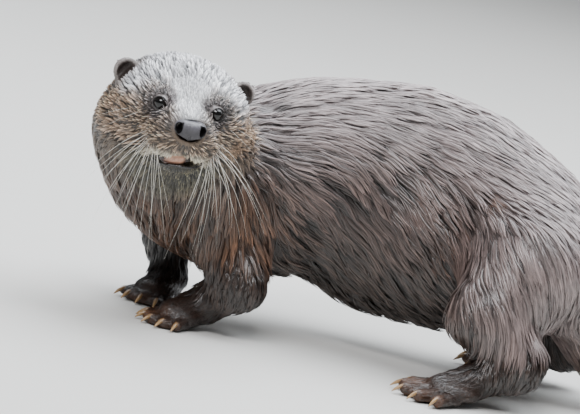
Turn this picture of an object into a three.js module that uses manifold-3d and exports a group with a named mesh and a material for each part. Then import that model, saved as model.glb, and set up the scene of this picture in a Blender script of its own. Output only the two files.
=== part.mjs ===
// A Eurasian otter, life size: hunched on all fours, its body curved towards its left and its head turned
// back over the left forefoot. Millimetres, +Z up. The rear end lies towards +X and the left side faces -Y.
// The origin is on the floor, under the middle of the whole animal.
//
// The flesh is one blended field of rounded lumps and swept lengths, polygonised region by region and cut
// into the parts a person would name. Sizes are taken over the coat, out to the tips of the fur.
import * as THREE from "three";
import { ConvexGeometry } from "three/addons/geometries/ConvexGeometry.js";
import { mergeVertices } from "three/addons/utils/BufferGeometryUtils.js";
import Module from "manifold-3d";

const wasm = await Module();
wasm.setup();

const V = (x, y, z) => new THREE.Vector3(x, y, z);
const rad = THREE.MathUtils.degToRad;

// ---- Driving dimensions -------------------------------------------------------------------------------

const SEAM = 0.4; // clear width of the thin cuts between neighbouring parts
const LEG_ROOM = 7; // room left round the flesh of a leg by the cut that parts it from the trunk
const SOLE_DEPTH = 1.6; // how far a toe is pressed flat by the floor
const CELL = { trunk: 25, neck: 16, head: 12, tail: 21, tip: 10, leg: 21, foot: 15 }; // facet sizes

// Centre line of the body from rump to nape: place, half width, half height.
const SPINE = [
  { at: [232, -16, 107], wide: 44, tall: 45 },
  { at: [200, -12, 119], wide: 62, tall: 69 },
  { at: [146, 20, 122.5], wide: 67, tall: 92.5 },
  { at: [85, 40, 125], wide: 67, tall: 98 },
  { at: [20, 34, 129], wide: 68, tall: 85 },
  { at: [-42, 10, 117], wide: 69, tall: 77 },
  { at: [-84, -24, 124], wide: 66, tall: 68 },
  { at: [-106, -62, 145], wide: 61, tall: 58 },
];
// Centre line of the tail from its root, and its half thickness.
const TAIL = [
  { at: [226, -16, 112], wide: 40, tall: 40 },
  { at: [250, -8, 76], wide: 33, tall: 33 },
  { at: [286, 6, 42], wide: 28, tall: 27 },
  { at: [340, 20, 24], wide: 24, tall: 23 },
  { at: [410, 20, 18], wide: 20, tall: 18.5 },
  { at: [490, 4, 13], wide: 15, tall: 13.5 },
  { at: [560, -18, 9], wide: 11, tall: 9.5 },
  { at: [608, -40, 6], wide: 7, tall: 6.5 },
];

// The head has its own frame: +X to the nose, +Y to its left, +Z to the crown, origin between the eyes.
const HEAD = { at: [-95, -132, 185], yaw: 9.5, pitch: -8.6 };
const HEAD_LUMPS = [
  { name: "cranium", at: [-48, 0, -8], r: [50, 47, 33] },
  { name: "temple", at: [-42, 24, -14], r: [42, 29, 31], pair: true },
  { name: "jowl", at: [-58, 25, -34], r: [34, 33, 34], pair: true },
  { name: "bridge", at: [-4, 0, -7], r: [36, 24, 15] },
  { name: "cheek", at: [-18, 29, -15], r: [24, 22, 19], pair: true },
  { name: "brow", at: [-9, 22, 5], r: [13, 14, 10], pair: true },
  { name: "snout", at: [8, 0, -17], r: [25, 23, 17] },
  { name: "whisker pad", at: [11, 12, -24], r: [18, 17, 13], pair: true },
  { name: "throat", at: [-36, 0, -42], r: [40, 38, 27] },
  { name: "chin", at: [0, 0, -41], r: [25, 19, 11] },
];
const EYE = { at: [2.6, 22.3, 0.6], r: 6.2 };
const NOSE = { at: [26.5, 0, -10.5], wide: 28, tall: 20, deep: 17, taper: 0.6 };
const NOSTRIL = { at: [6.5, 9.6, 0.5], r: [6, 3, 3.8], splay: 30 }; // its place is from the middle of the nose
const EAR = { at: [-50, 46.5, 4], r: [4.6, 11, 12], lean: 20, turn: 8 };
const MOUTH = { height: -35, corner: -6, slope: 0.06 };

// Joints of each leg from the body down, each with the radius of the flesh round it, then the foot.
const LEGS = {
  fore_left: {
    joints: [[-48, -34, 96, 40], [-26, -54, 44, 22], [-50, -42, 20, 15], [-70, -56, 10, 12]],
    foot: { kind: "fore", heading: 38 },
    side: "left",
  },
  fore_right: {
    joints: [[-70, 44, 92, 36], [-92, 52, 52, 20], [-84, 42, 20, 14], [-92, 26, 10, 12]],
    foot: { kind: "fore", heading: 66 },
    side: "right",
  },
  hind_left: {
    joints: [[198, -54, 108, 54], [174, -84, 72, 33], [205, -92, 37, 21], [154, -111, 11, 13]],
    foot: { kind: "hind", heading: 20 },
    side: "left",
  },
  hind_right: {
    joints: [[208, 34, 112, 52], [198, 69, 71, 30], [250, 65, 36, 21], [206, 72, 11, 13]],
    foot: { kind: "hind", heading: 4 },
    side: "right",
  },
};
// A foot in its own frame: +X to the toes, +Y to its left, origin at the ball, where the toes spring.
const FEET = {
  fore: { palm: [17, 20, 10], web: [15, 19, 6], spread: 13, fan: 15, toe: [20, 26, 29, 27, 21], r: 5.2, claw: 8 },
  hind: { palm: [22, 24, 10], web: [21, 24, 6], spread: 17, fan: 17, toe: [30, 39, 43, 40, 31], r: 6, claw: 9 },
};

// ---- Distance fields ----------------------------------------------------------------------------------

// Union of two fields with a fillet about k wide.
const blend = (a, b, k) => Math.min(a, b) - Math.max(k - Math.abs(a - b), 0) ** 2 / (4 * k);

// Distance from a rounded lump with half sizes r, centred on the origin.
function lumpDistance(x, y, z, r) {
  const near = Math.hypot(x / r[0], y / r[1], z / r[2]);
  const steep = Math.hypot(x / r[0] ** 2, y / r[1] ** 2, z / r[2] ** 2);
  return steep < 1e-9 ? -Math.min(...r) : (near * (near - 1)) / steep;
}

// Distance from a bone wrapped in flesh whose radius runs evenly from ra to rb.
function boneDistance(p, a, b, ra, rb) {
  const along = b.clone().sub(a);
  const t = THREE.MathUtils.clamp(p.clone().sub(a).dot(along) / along.lengthSq(), 0, 1);
  return p.distanceTo(along.multiplyScalar(t).add(a)) - THREE.MathUtils.lerp(ra, rb, t);
}

// A length of body: an oval section carried along a smooth curve through its stations.
class Sweep {
  constructor(stations, steps) {
    const line = new THREE.CatmullRomCurve3(stations.map((s) => V(...s.at)), false, "centripetal");
    const size = new THREE.CatmullRomCurve3(stations.map((s) => V(s.wide, s.tall, 0)));
    this.slices = Array.from({ length: steps + 1 }, (_, i) => {
      const t = i / steps;
      const tangent = line.getTangent(t);
      const side = V(0, 0, 1).cross(tangent).normalize();
      return { at: line.getPoint(t), tangent, side, up: tangent.clone().cross(side), size: size.getPoint(t) };
    });
    this.step = line.getLength() / steps;
  }

  // The slice whose centre lies nearest to p.
  nearest(p) {
    let best = this.slices[0];
    let least = Infinity;
    for (const slice of this.slices) {
      const d = slice.at.distanceToSquared(p);
      if (d < least) [least, best] = [d, slice];
    }
    return best;
  }

  distance(p) {
    const { at, tangent, side, up, size } = this.nearest(p);
    const out = p.clone().sub(at);
    const along = out.dot(tangent);
    const past = Math.sign(along) * Math.max(Math.abs(along) - this.step / 2, 0);
    return lumpDistance(past, out.dot(side), out.dot(up), [Math.min(size.x, size.y), size.x, size.y]);
  }
}

// ---- The animal's fields ------------------------------------------------------------------------------

const headFrame = (() => {
  const yaw = rad(HEAD.yaw);
  const pitch = rad(HEAD.pitch);
  const forward = V(Math.sin(yaw) * Math.cos(pitch), -Math.cos(yaw) * Math.cos(pitch), Math.sin(pitch));
  const left = V(Math.cos(yaw), Math.sin(yaw), 0);
  return new THREE.Matrix4().makeBasis(forward, left, forward.clone().cross(left)).setPosition(...HEAD.at);
})();
const intoHead = headFrame.clone().invert();

const spine = new Sweep(SPINE, 90);
const tail = new Sweep(TAIL, 90);

// Distance from the head's flesh, for a point in the head's frame. Paired lumps are met by folding the
// left half onto the right.
function headField(p) {
  let d = Infinity;
  for (const { at, r, pair } of HEAD_LUMPS) {
    const y = pair ? Math.abs(p.y) : p.y;
    d = blend(d, lumpDistance(p.x - at[0], y - at[1], p.z - at[2], r), 9);
  }
  return d;
}

// Distance from one leg's flesh, down to the ball of its foot.
function legField({ joints, foot }, p) {
  let d = Infinity;
  for (let i = 0; i + 1 < joints.length; i++) {
    const [a, b] = [joints[i], joints[i + 1]];
    d = blend(d, boneDistance(p, V(...a), V(...b), a[3], b[3]), 10);
  }
  const ball = p.clone().sub(V(...joints.at(-1))).applyAxisAngle(V(0, 0, 1), -footAngle(foot));
  const { palm, web } = FEET[foot.kind];
  d = blend(d, lumpDistance(ball.x + 4, ball.y, ball.z, palm), 6);
  return blend(d, lumpDistance(ball.x - palm[0] * 0.6, ball.y, ball.z + 7, web), 4);
}

// A foot's heading is measured from -X towards -Y.
function footAngle(foot) {
  return Math.PI + rad(foot.heading);
}

function bodyField(p) {
  let d = blend(spine.distance(p), tail.distance(p), 16);
  d = blend(d, headField(p.clone().applyMatrix4(intoHead)), 22);
  for (const leg of Object.values(LEGS)) d = blend(d, legField(leg, p), leg.foot.kind === "fore" ? 16 : 24);
  return d;
}

// ---- From field to solid ------------------------------------------------------------------------------

// Closed surface of a field inside a box. The grid is moved a little until each edge has just two faces, if it can be.
function netOf(field, box, cell) {
  let net;
  for (let shift = 0; shift < 1; shift += 0.09) {
    net = netOn(field, box.clone().expandByVector(V(shift, shift * 0.7, shift * 0.4).multiplyScalar(cell)), cell);
    if (edgesPaired(net.index.array)) break;
  }
  return net;
}

// The net of one grid: one vertex per grid cell that the surface crosses, moved onto the surface.
function netOn(field, box, cell) {
  const low = box.min.toArray();
  const count = box.getSize(V(0, 0, 0)).toArray().map((s) => Math.ceil(s / cell) + 1);
  const idOf = (i) => (i[2] * count[1] + i[1]) * count[0] + i[0];
  const value = new Float64Array(count[0] * count[1] * count[2]);
  const onEdge = (i) => i.some((n, a) => n === 0 || n === count[a] - 1);
  const everyPoint = function* () {
    for (let z = 0; z < count[2]; z++)
      for (let y = 0; y < count[1]; y++) for (let x = 0; x < count[0]; x++) yield [x, y, z];
  };
  const placeOf = (i) => V(...i.map((n, a) => low[a] + n * cell));
  for (const i of everyPoint()) value[idOf(i)] = Math.max(field(placeOf(i)), onEdge(i) ? cell : -Infinity);

  const vertexOf = new Map();
  const positions = [];
  const corners = [0, 1, 2, 3, 4, 5, 6, 7].map((n) => [n & 1, (n >> 1) & 1, n >> 2]);
  for (const i of everyPoint()) {
    if (i.some((n, a) => n === count[a] - 1)) continue;
    const sum = V(0, 0, 0);
    let crossings = 0;
    for (const from of corners) {
      const a = from.map((n, k) => n + i[k]);
      for (let axis = 0; axis < 3; axis++) {
        if (from[axis]) continue;
        const b = a.map((n, k) => n + (k === axis));
        const [va, vb] = [value[idOf(a)], value[idOf(b)]];
        if (va < 0 === vb < 0) continue;
        sum.add(placeOf(a).lerp(placeOf(b), va / (va - vb)));
        crossings++;
      }
    }
    if (!crossings) continue;
    const p = sum.divideScalar(crossings);
    const inside = !i.some((n, a) => n === 0 || n >= count[a] - 2);
    vertexOf.set(idOf(i), positions.length / 3);
    positions.push(...(inside ? onto(field, p) : p).toArray());
  }

  const index = [];
  for (const i of everyPoint()) {
    for (let axis = 0; axis < 3; axis++) {
      const next = i.map((n, k) => n + (k === axis));
      if (next[axis] >= count[axis]) continue;
      const starts = value[idOf(i)] < 0;
      if (starts === value[idOf(next)] < 0) continue;
      const [b, c] = [(axis + 1) % 3, (axis + 2) % 3];
      const ring = [[1, 1], [0, 1], [0, 0], [1, 0]].map(([db, dc]) => {
        const cellAt = [...i];
        cellAt[b] -= db;
        cellAt[c] -= dc;
        return vertexOf.get(idOf(cellAt));
      });
      pushQuad(index, positions, starts ? ring : ring.reverse());
    }
  }
  const geometry = new THREE.BufferGeometry();
  geometry.setAttribute("position", new THREE.Float32BufferAttribute(positions, 3));
  return geometry.setIndex(index);
}

// Adds a quad as two triangles, split along its shorter diagonal.
function pushQuad(index, positions, [a, b, c, d]) {
  const at = (n) => V(...positions.slice(3 * n, 3 * n + 3));
  if (at(a).distanceTo(at(c)) < at(b).distanceTo(at(d))) index.push(a, b, c, a, c, d);
  else index.push(a, b, d, b, c, d);
}

// Moves p along the field's slope until it lies on the surface.
function onto(field, p) {
  const h = 0.5;
  for (let pass = 0; pass < 3; pass++) {
    const slope = V(
      field(V(p.x + h, p.y, p.z)) - field(V(p.x - h, p.y, p.z)),
      field(V(p.x, p.y + h, p.z)) - field(V(p.x, p.y - h, p.z)),
      field(V(p.x, p.y, p.z + h)) - field(V(p.x, p.y, p.z - h)),
    ).divideScalar(2 * h);
    p.addScaledVector(slope, -field(p) / Math.max(slope.lengthSq(), 0.25));
  }
  return p;
}

// A geometry's closed surface as a manifold-3d solid.
function solidOf(geometry) {
  const bare = new THREE.BufferGeometry();
  bare.setAttribute("position", geometry.getAttribute("position"));
  const merged = mergeVertices(bare.setIndex(geometry.index), 1e-4);
  return new wasm.Manifold(
    new wasm.Mesh({
      numProp: 3,
      vertProperties: new Float32Array(merged.attributes.position.array),
      triVerts: new Uint32Array(merged.index.array),
    }),
  );
}

// A solid's surface as a geometry. Its corners are rounded to a grid so that no sliver is left: the first
// grid, from fine to coarse, that leaves each edge shared by just two triangles.
function geometryOf(solid) {
  const mesh = solid.getMesh();
  for (let grid = 0.001; grid < 0.02; grid *= 1.3) {
    const geometry = rounded(mesh, grid);
    if (edgesPaired(geometry.index.array)) return geometry;
  }
  throw new Error("no grid leaves this surface closed");
}

function edgesPaired(index) {
  const uses = new Map();
  for (let i = 0; i < index.length; i++) {
    const [a, b] = [index[i], index[i % 3 === 2 ? i - 2 : i + 1]];
    const key = a < b ? `${a},${b}` : `${b},${a}`;
    uses.set(key, (uses.get(key) ?? 0) + 1);
  }
  return [...uses.values()].every((n) => n === 2);
}

function rounded({ vertProperties, triVerts }, grid) {
  const places = new Map();
  const positions = [];
  const idOf = Array.from({ length: vertProperties.length / 3 }, (_, n) => {
    const place = [0, 1, 2].map((k) => Math.round(vertProperties[3 * n + k] / grid));
    const key = place.join();
    if (!places.has(key)) {
      places.set(key, positions.length / 3);
      positions.push(...place.map((v) => v * grid));
    }
    return places.get(key);
  });
  const index = [];
  for (let t = 0; t < triVerts.length; t += 3) {
    const [a, b, c] = [0, 1, 2].map((k) => idOf[triVerts[t + k]]);
    if (a !== b && b !== c && c !== a) index.push(a, b, c);
  }
  dropFolds(index);
  const geometry = new THREE.BufferGeometry();
  geometry.setAttribute("position", new THREE.Float32BufferAttribute(positions, 3));
  geometry.setIndex(index);
  return geometry;
}

// Removes pairs of triangles folded flat onto each other.
function dropFolds(index) {
  const seen = new Map();
  for (let t = 0; t < index.length; t += 3) {
    const key = index.slice(t, t + 3).sort((a, b) => a - b).join();
    if (!seen.has(key)) seen.set(key, t);
    else {
      index.splice(t, 3);
      index.splice(seen.get(key), 3);
      return dropFolds(index);
    }
  }
}

// The same closed surface moved out along its normals.
function grown(geometry, by) {
  const out = mergeVertices(bareCopy(geometry), 1e-3);
  out.computeVertexNormals();
  const [at, normal] = [out.getAttribute("position"), out.getAttribute("normal")];
  for (let i = 0; i < at.count; i++) {
    at.setXYZ(i, at.getX(i) + by * normal.getX(i), at.getY(i) + by * normal.getY(i), at.getZ(i) + by * normal.getZ(i));
  }
  return out;
}

function bareCopy(geometry) {
  const copy = geometry.clone();
  copy.deleteAttribute("normal");
  copy.deleteAttribute("uv");
  return copy;
}

// All of space on the side of a plane that its normal points away from, moved back by half a seam.
function behind(point, normal) {
  const size = 3000;
  const block = new THREE.BoxGeometry(size, size, size).translate(0, 0, -size / 2 - SEAM / 2);
  const turn = new THREE.Quaternion().setFromUnitVectors(V(0, 0, 1), normal.clone().normalize());
  return solidOf(block.applyQuaternion(turn).translate(...point.toArray()));
}
const ahead = (point, normal) => behind(point, normal.clone().negate());

const box = (low, high) => new THREE.Box3(V(...low), V(...high));
const above = ahead(V(0, 0, -SEAM / 2), V(0, 0, 1)); // the room above the floor
const fleshIn = (room, cell) => solidOf(netOf(bodyField, room, cell)).intersect(above);
const flesh = (low, high, cell) => fleshIn(box(low, high), cell);
const largest = (solid) => solid.decompose().reduce((a, b) => (b.volume() > a.volume() ? b : a));

const parts = {};

// ---- Legs ---------------------------------------------------------------------------------------------

// Turns a geometry laid out in a foot's frame into place.
function intoFoot({ joints, foot }, geometry) {
  const [x, y] = joints.at(-1);
  return geometry.rotateZ(footAngle(foot)).translate(x, y, 0);
}

// Each toe of a foot, inner one first: its root, direction, length and half thickness.
function toesOf({ foot, side }) {
  const { spread, fan, toe, r } = FEET[foot.kind];
  const outward = side === "left" ? 1 : -1;
  return toe.map((length, i) => {
    const angle = outward * rad(fan) * (i - 2);
    return { root: V(-2, (outward * spread * (i - 2)) / 2, r - SOLE_DEPTH / 2), angle, length, r };
  });
}

function toeShape({ root, angle, length, r }) {
  const reach = length - r;
  const toe = new THREE.CapsuleGeometry(r, reach, 2, 6).rotateZ(-Math.PI / 2).translate(reach / 2, 0, 0);
  return toe.rotateZ(angle).translate(root.x, root.y, root.z);
}

// A short claw springing from the top of a toe's tip.
function clawShape({ root, angle, length, r }, claw) {
  const sides = 5;
  const hook = new THREE.CylinderGeometry(0.35, 1.7, claw, sides, 1).rotateZ(-Math.PI / 2);
  hook.rotateY(rad(24)).translate(length - r * 0.2 + claw / 2 - 2.2, 0, r * 0.32);
  return hook.rotateZ(angle).translate(root.x, root.y, root.z);
}

// Room for a leg's flesh down its bones, kept to its own side of the body above the knee or elbow: what is
// cut out for the leg, let out by extra.
function legRoom({ joints, side }, extra) {
  const ends = joints.map(([x, y, z, r]) => {
    const ball = new THREE.IcosahedronGeometry(r + LEG_ROOM + extra, 1).translate(x, y, z).getAttribute("position");
    return Array.from({ length: ball.count }, (_, i) => V(0, 0, 0).fromBufferAttribute(ball, i));
  });
  const bones = ends.slice(1).map((end, i) => solidOf(bareCopy(new ConvexGeometry([...ends[i], ...end]))));
  const shoulder = V(...joints[0]);
  const across = spine.nearest(shoulder).side;
  const inward = across.clone().multiplyScalar(across.dot(V(0, side === "left" ? 1 : -1, 0)) > 0 ? 1 : -1);
  const past = ahead(shoulder.addScaledVector(inward, 8 + extra), inward);
  return bones.reduce((a, b) => a.add(b)).subtract(past.intersect(ahead(V(0, 0, joints[1][2]), V(0, 0, 1))));
}

const cutters = [];
for (const [name, leg] of Object.entries(LEGS)) {
  const { joints, foot } = leg;
  const hull = new THREE.Box3().setFromPoints(joints.map(([x, y, z]) => V(x, y, z))).expandByScalar(75);
  cutters.push(legRoom(leg, SEAM));
  const limb = fleshIn(hull, CELL.leg).intersect(legRoom(leg, 0));
  const [upper, lower, foot_name] = foot.kind === "fore" ? ["upper_arm", "forearm", "forefoot"] : ["thigh", "shank", "hindfoot"];
  const bend = (k) => {
    const [a, b, c] = joints.slice(k - 1, k + 2).map(([x, y, z]) => V(x, y, z));
    return b.clone().sub(a).normalize().add(c.clone().sub(b).normalize()).normalize();
  };
  const [knee, ankle] = [V(...joints[1]), V(...joints[2])];
  parts[`${upper}_${leg.side}`] = largest(limb.intersect(behind(knee, bend(1))));
  parts[`${lower}_${leg.side}`] = largest(limb.intersect(ahead(knee, bend(1))).intersect(behind(ankle, bend(2))));
  const lowest = new THREE.Box3().setFromPoints([ankle, V(...joints[3])]).expandByScalar(34);
  const palm = largest(fleshIn(lowest, CELL.foot).intersect(legRoom(leg, 0)).intersect(ahead(ankle, bend(2))));
  const toes = toesOf(leg);
  let sole = palm;
  toes.forEach((toe) => (sole = sole.add(solidOf(intoFoot(leg, toeShape(toe))))));
  toes.forEach((toe, i) => {
    const claw = intoFoot(leg, clawShape(toe, FEET[foot.kind].claw));
    sole = sole.subtract(solidOf(grown(claw, SEAM)));
    parts[`claw_${foot.kind}_${leg.side}_${i + 1}`] = solidOf(claw);
  });
  parts[`${foot_name}_${leg.side}`] = largest(sole.intersect(above));
}

// ---- Trunk, neck and tail -----------------------------------------------------------------------------

const headSide = V(1, 0, 0.28).transformDirection(headFrame);
const cuts = {
  nape: { at: V(-64, 0, -16).applyMatrix4(headFrame), normal: headSide.clone().negate() },
  withers: { at: V(-86, -30, 128), normal: V(0.5, 0.78, -0.35) },
  ribs: { at: V(34, 34, 120), normal: V(1, 0, 0) },
  loins: { at: V(138, 22, 120), normal: V(1, -0.1, 0) },
  root: { at: V(236, -14, 96), normal: V(0.62, 0.1, -0.78) },
  tail_a: { at: V(352, 20, 24), normal: V(1, 0.1, 0) },
  tail_b: { at: V(478, 6, 14), normal: V(1, -0.2, 0) },
};
const between = (solid, from, to) => {
  const past = from ? solid.intersect(ahead(cuts[from].at, cuts[from].normal)) : solid;
  return largest(to ? past.intersect(behind(cuts[to].at, cuts[to].normal)) : past);
};
const withoutLegs = (solid) => cutters.reduce((rest, cutter) => rest.subtract(cutter), solid);

const trunk = withoutLegs(flesh([-190, -150, -10], [300, 130, 245], CELL.trunk));
parts.chest = between(trunk, "withers", "ribs");
parts.belly = between(trunk, "ribs", "loins");
parts.rump = between(trunk, "loins", "root");
parts.neck = between(withoutLegs(flesh([-200, -180, 20], [0, 40, 240], CELL.neck)), "nape", "withers");
const tailFlesh = withoutLegs(flesh([200, -90, -10], [500, 90, 150], CELL.tail));
parts.tail_base = between(tailFlesh, "root", "tail_a");
parts.tail_middle = between(tailFlesh, "tail_a", "tail_b");
parts.tail_tip = between(flesh([440, -70, -10], [640, 60, 60], CELL.tip), "tail_b");

// ---- Head ---------------------------------------------------------------------------------------------

const inHead = (geometry) => geometry.applyMatrix4(headFrame);
const headWay = (x, y, z) => V(x, y, z).transformDirection(headFrame);
const headPlace = (x, y, z) => V(x, y, z).applyMatrix4(headFrame);
const headParts = ["head", "jaw", "nose"];

let skull = withoutLegs(flesh([-190, -190, 90], [-10, -60, 250], CELL.head));
skull = skull.intersect(behind(cuts.nape.at, cuts.nape.normal)).intersect(behind(cuts.withers.at, cuts.withers.normal));

// Everything below the line of the lips and ahead of the angle of the jaw, let out by half of extra.
function jawRoom(extra) {
  const lip = headPlace(MOUTH.corner, 0, MOUTH.height + extra);
  const angle = headPlace(MOUTH.corner - 7 - extra, 0, MOUTH.height);
  return behind(lip, headWay(MOUTH.slope, 0, 1)).intersect(ahead(angle, headWay(1, 0, -0.3)));
}
parts.jaw = largest(skull.intersect(jawRoom(0)));
skull = skull.subtract(jawRoom(SEAM));

// The bare pad of the nose: widest across the nostrils, narrowing to a point at the lip.
const pad = new THREE.SphereGeometry(1, 12, 8).rotateX(Math.PI / 2);
const padAt = pad.getAttribute("position");
for (let i = 0; i < padAt.count; i++) {
  const [x, y, z] = [padAt.getX(i), padAt.getY(i), padAt.getZ(i)];
  const narrow = 1 - NOSE.taper * Math.max(-z, 0);
  padAt.setXYZ(i, (x * NOSE.deep) / 2, (y * NOSE.wide * narrow) / 2, (z * NOSE.tall) / 2);
}
inHead(pad.translate(...NOSE.at));
parts.nose = solidOf(pad);
skull = skull.subtract(solidOf(grown(pad, SEAM)));

for (const [side, y] of [["left", 1], ["right", -1]]) {
  const nostril = new THREE.SphereGeometry(1, 8, 6).scale(...NOSTRIL.r).rotateZ(y * rad(NOSTRIL.splay));
  nostril.translate(NOSE.at[0] + NOSTRIL.at[0], y * NOSTRIL.at[1], NOSE.at[2] + NOSTRIL.at[2]);
  parts.nose = parts.nose.subtract(solidOf(inHead(nostril)));

  const eye = inHead(new THREE.SphereGeometry(EYE.r, 12, 9).translate(EYE.at[0], y * EYE.at[1], EYE.at[2]));
  parts[`eye_${side}`] = solidOf(eye);
  skull = skull.subtract(solidOf(grown(eye, SEAM)));

  // A small round ear, hollowed in front.
  const inEar = (geometry) => inHead(
    geometry.rotateX(y * rad(-EAR.lean)).rotateZ(y * rad(EAR.turn)).translate(EAR.at[0], y * EAR.at[1], EAR.at[2]),
  );
  const shell = inEar(new THREE.SphereGeometry(1, 10, 7).rotateX(Math.PI / 2).scale(...EAR.r));
  const hollow = new THREE.SphereGeometry(1, 8, 6).rotateX(Math.PI / 2).scale(...EAR.r.map((r) => r * 0.74));
  parts[`ear_${side}`] = solidOf(shell).subtract(solidOf(inEar(hollow.translate(EAR.r[0] * 0.85, 0, 1))));
  skull = skull.subtract(solidOf(grown(shell, SEAM)));
  headParts.push(`eye_${side}`, `ear_${side}`);
}
parts.head = largest(skull);

// ---- Finishes and the finished animal -----------------------------------------------------------------

const finishes = {
  fur: { color: 0x5f4b3e, roughness: 0.6 },
  nose: { color: 0x2b2829, roughness: 0.45 },
  eye: { color: 0x0a0706, roughness: 0.08 },
  claw: { color: 0xa08a6c, roughness: 0.5 },
};

const otter = new THREE.Group();
const head = new THREE.Group();
head.applyMatrix4(headFrame);
otter.add(head);
for (const [name, solid] of Object.entries(parts)) {
  const mesh = new THREE.Mesh(
    geometryOf(solid),
    new THREE.MeshStandardMaterial(finishes[name.split("_")[0]] ?? finishes.fur),
  );
  mesh.name = name;
  if (headParts.includes(name)) {
    mesh.geometry.applyMatrix4(intoHead);
    head.add(mesh);
  } else otter.add(mesh);
}

const extent = new THREE.Box3().setFromObject(otter, true);
const middle = extent.getCenter(V(0, 0, 0));
otter.position.set(-middle.x, -middle.y, -extent.min.z);

export default otter;
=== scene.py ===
"""A life-size Eurasian otter: a seamless skin, a wet coat of solid locks, eyes, nose, mouth, claws, whiskers.

The shape is worked out in millimetres in a layout frame, +X to the tail, +Y to the animal's right and +Z up
from the floor, and is carried into the CAD frame when each mesh is made. The flesh is one distance field:
the value at a point is about how far it lies outside the tips of the coat.
"""
from __future__ import annotations

import logging
import math
from dataclasses import dataclass, field
from enum import Enum
from typing import Callable, Sequence

import bpy
import numpy as np
from mathutils import Matrix, Vector


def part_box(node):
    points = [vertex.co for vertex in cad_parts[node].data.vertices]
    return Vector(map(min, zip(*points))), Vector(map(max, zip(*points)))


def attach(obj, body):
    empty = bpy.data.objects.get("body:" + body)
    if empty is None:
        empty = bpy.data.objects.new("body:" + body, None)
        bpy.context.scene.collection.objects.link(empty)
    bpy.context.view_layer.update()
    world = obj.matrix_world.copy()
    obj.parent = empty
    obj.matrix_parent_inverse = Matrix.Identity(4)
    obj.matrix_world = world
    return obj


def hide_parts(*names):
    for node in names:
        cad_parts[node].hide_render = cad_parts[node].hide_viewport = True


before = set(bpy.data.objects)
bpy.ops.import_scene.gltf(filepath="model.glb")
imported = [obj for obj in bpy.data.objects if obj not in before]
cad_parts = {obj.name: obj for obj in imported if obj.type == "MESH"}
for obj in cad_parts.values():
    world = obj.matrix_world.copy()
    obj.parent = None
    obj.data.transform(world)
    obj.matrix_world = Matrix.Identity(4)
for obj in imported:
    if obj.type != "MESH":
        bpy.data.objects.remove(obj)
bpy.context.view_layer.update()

logging.basicConfig(level=logging.INFO, format="%(message)s")
log = logging.getLogger("otter")

Array = np.ndarray
Material = bpy.types.Material
Node = bpy.types.Node
Socket = bpy.types.NodeSocket
Field = Callable[[Array], Array]
MM = 0.001


# ---- Small mathematics --------------------------------------------------------------------------------


def f32(v: Array | Sequence[float]) -> Array:
    """The same numbers in single precision."""
    return np.asarray(v, dtype=np.float32)


def empty(count: int, far: float = 1e3) -> Array:
    """A field with nothing in it yet, at so many points."""
    return np.full(count, far, dtype=np.float32)


def folded(h: Array) -> Array:
    """Head points, the right half folded over onto the left."""
    return np.stack([h[:, 0], np.abs(h[:, 1]), h[:, 2]], axis=1)


def unit(v: Array) -> Array:
    """Rows of v scaled to length one."""
    return v / np.maximum(np.linalg.norm(v, axis=-1, keepdims=True), 1e-9)


def dot(a: Array, b: Array) -> Array:
    """Row by row scalar product, kept as a column."""
    return (a * b).sum(axis=-1, keepdims=True)


def smooth(low: float, high: float, x: Array) -> Array:
    """0 below low, 1 above high, and the cubic 3t^2 - 2t^3 between; low may be above high."""
    t = np.clip((x - low) / (high - low), 0.0, 1.0)
    return t * t * (3.0 - 2.0 * t)


def mix(a: Array, b: Array | Sequence[float], w: Array) -> Array:
    """Rows of a turned into b by the weight w of each row."""
    return a + (f32(b) - a) * w[:, None]


def lump(p: Array, at: Sequence[float], r: Sequence[float]) -> Array:
    """Distance from an ellipsoid: k0 (k0 - 1) / k1, with k0 = |p / r| and k1 = |p / r^2|.

    Args:
        p: Points.
        at: Middle.
        r: Radii.

    Returns:
        Distances.
    """
    q = (p - f32(at)) / f32(r)
    k0 = np.sqrt((q * q).sum(axis=1))
    q = q / f32(r)
    k1 = np.sqrt((q * q).sum(axis=1))
    return np.where(k1 < 1e-8, -min(r), k0 * (k0 - 1.0) / np.maximum(k1, 1e-8))


def bone(p: Array, a: Sequence[float], b: Sequence[float], ra: float, rb: float) -> Array:
    """Distance from a segment a-b less a radius that runs evenly from ra to rb.

    Args:
        p: Points.
        a: One end.
        b: The other end.
        ra: Radius at a.
        rb: Radius at b.

    Returns:
        Distances.
    """
    a_, b_ = f32(a), f32(b)
    ab = b_ - a_
    t = np.clip(((p - a_) @ ab) / float(ab @ ab), 0.0, 1.0)
    return np.linalg.norm(p - a_ - t[:, None] * ab, axis=1) - (ra + (rb - ra) * t)


def union(a: Array, b: Array, k: float) -> Array:
    """The lesser of two fields with a fillet about k wide: min(a, b) - max(k - |a - b|, 0)^2 / 4k."""
    return np.minimum(a, b) - np.maximum(k - np.abs(a - b), 0.0) ** 2 / (4.0 * k)


def carve(a: Array, b: Array, k: float) -> Array:
    """Field a with b cut out of it, its edge rounded about k wide."""
    return -union(-a, b, k)


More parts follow.
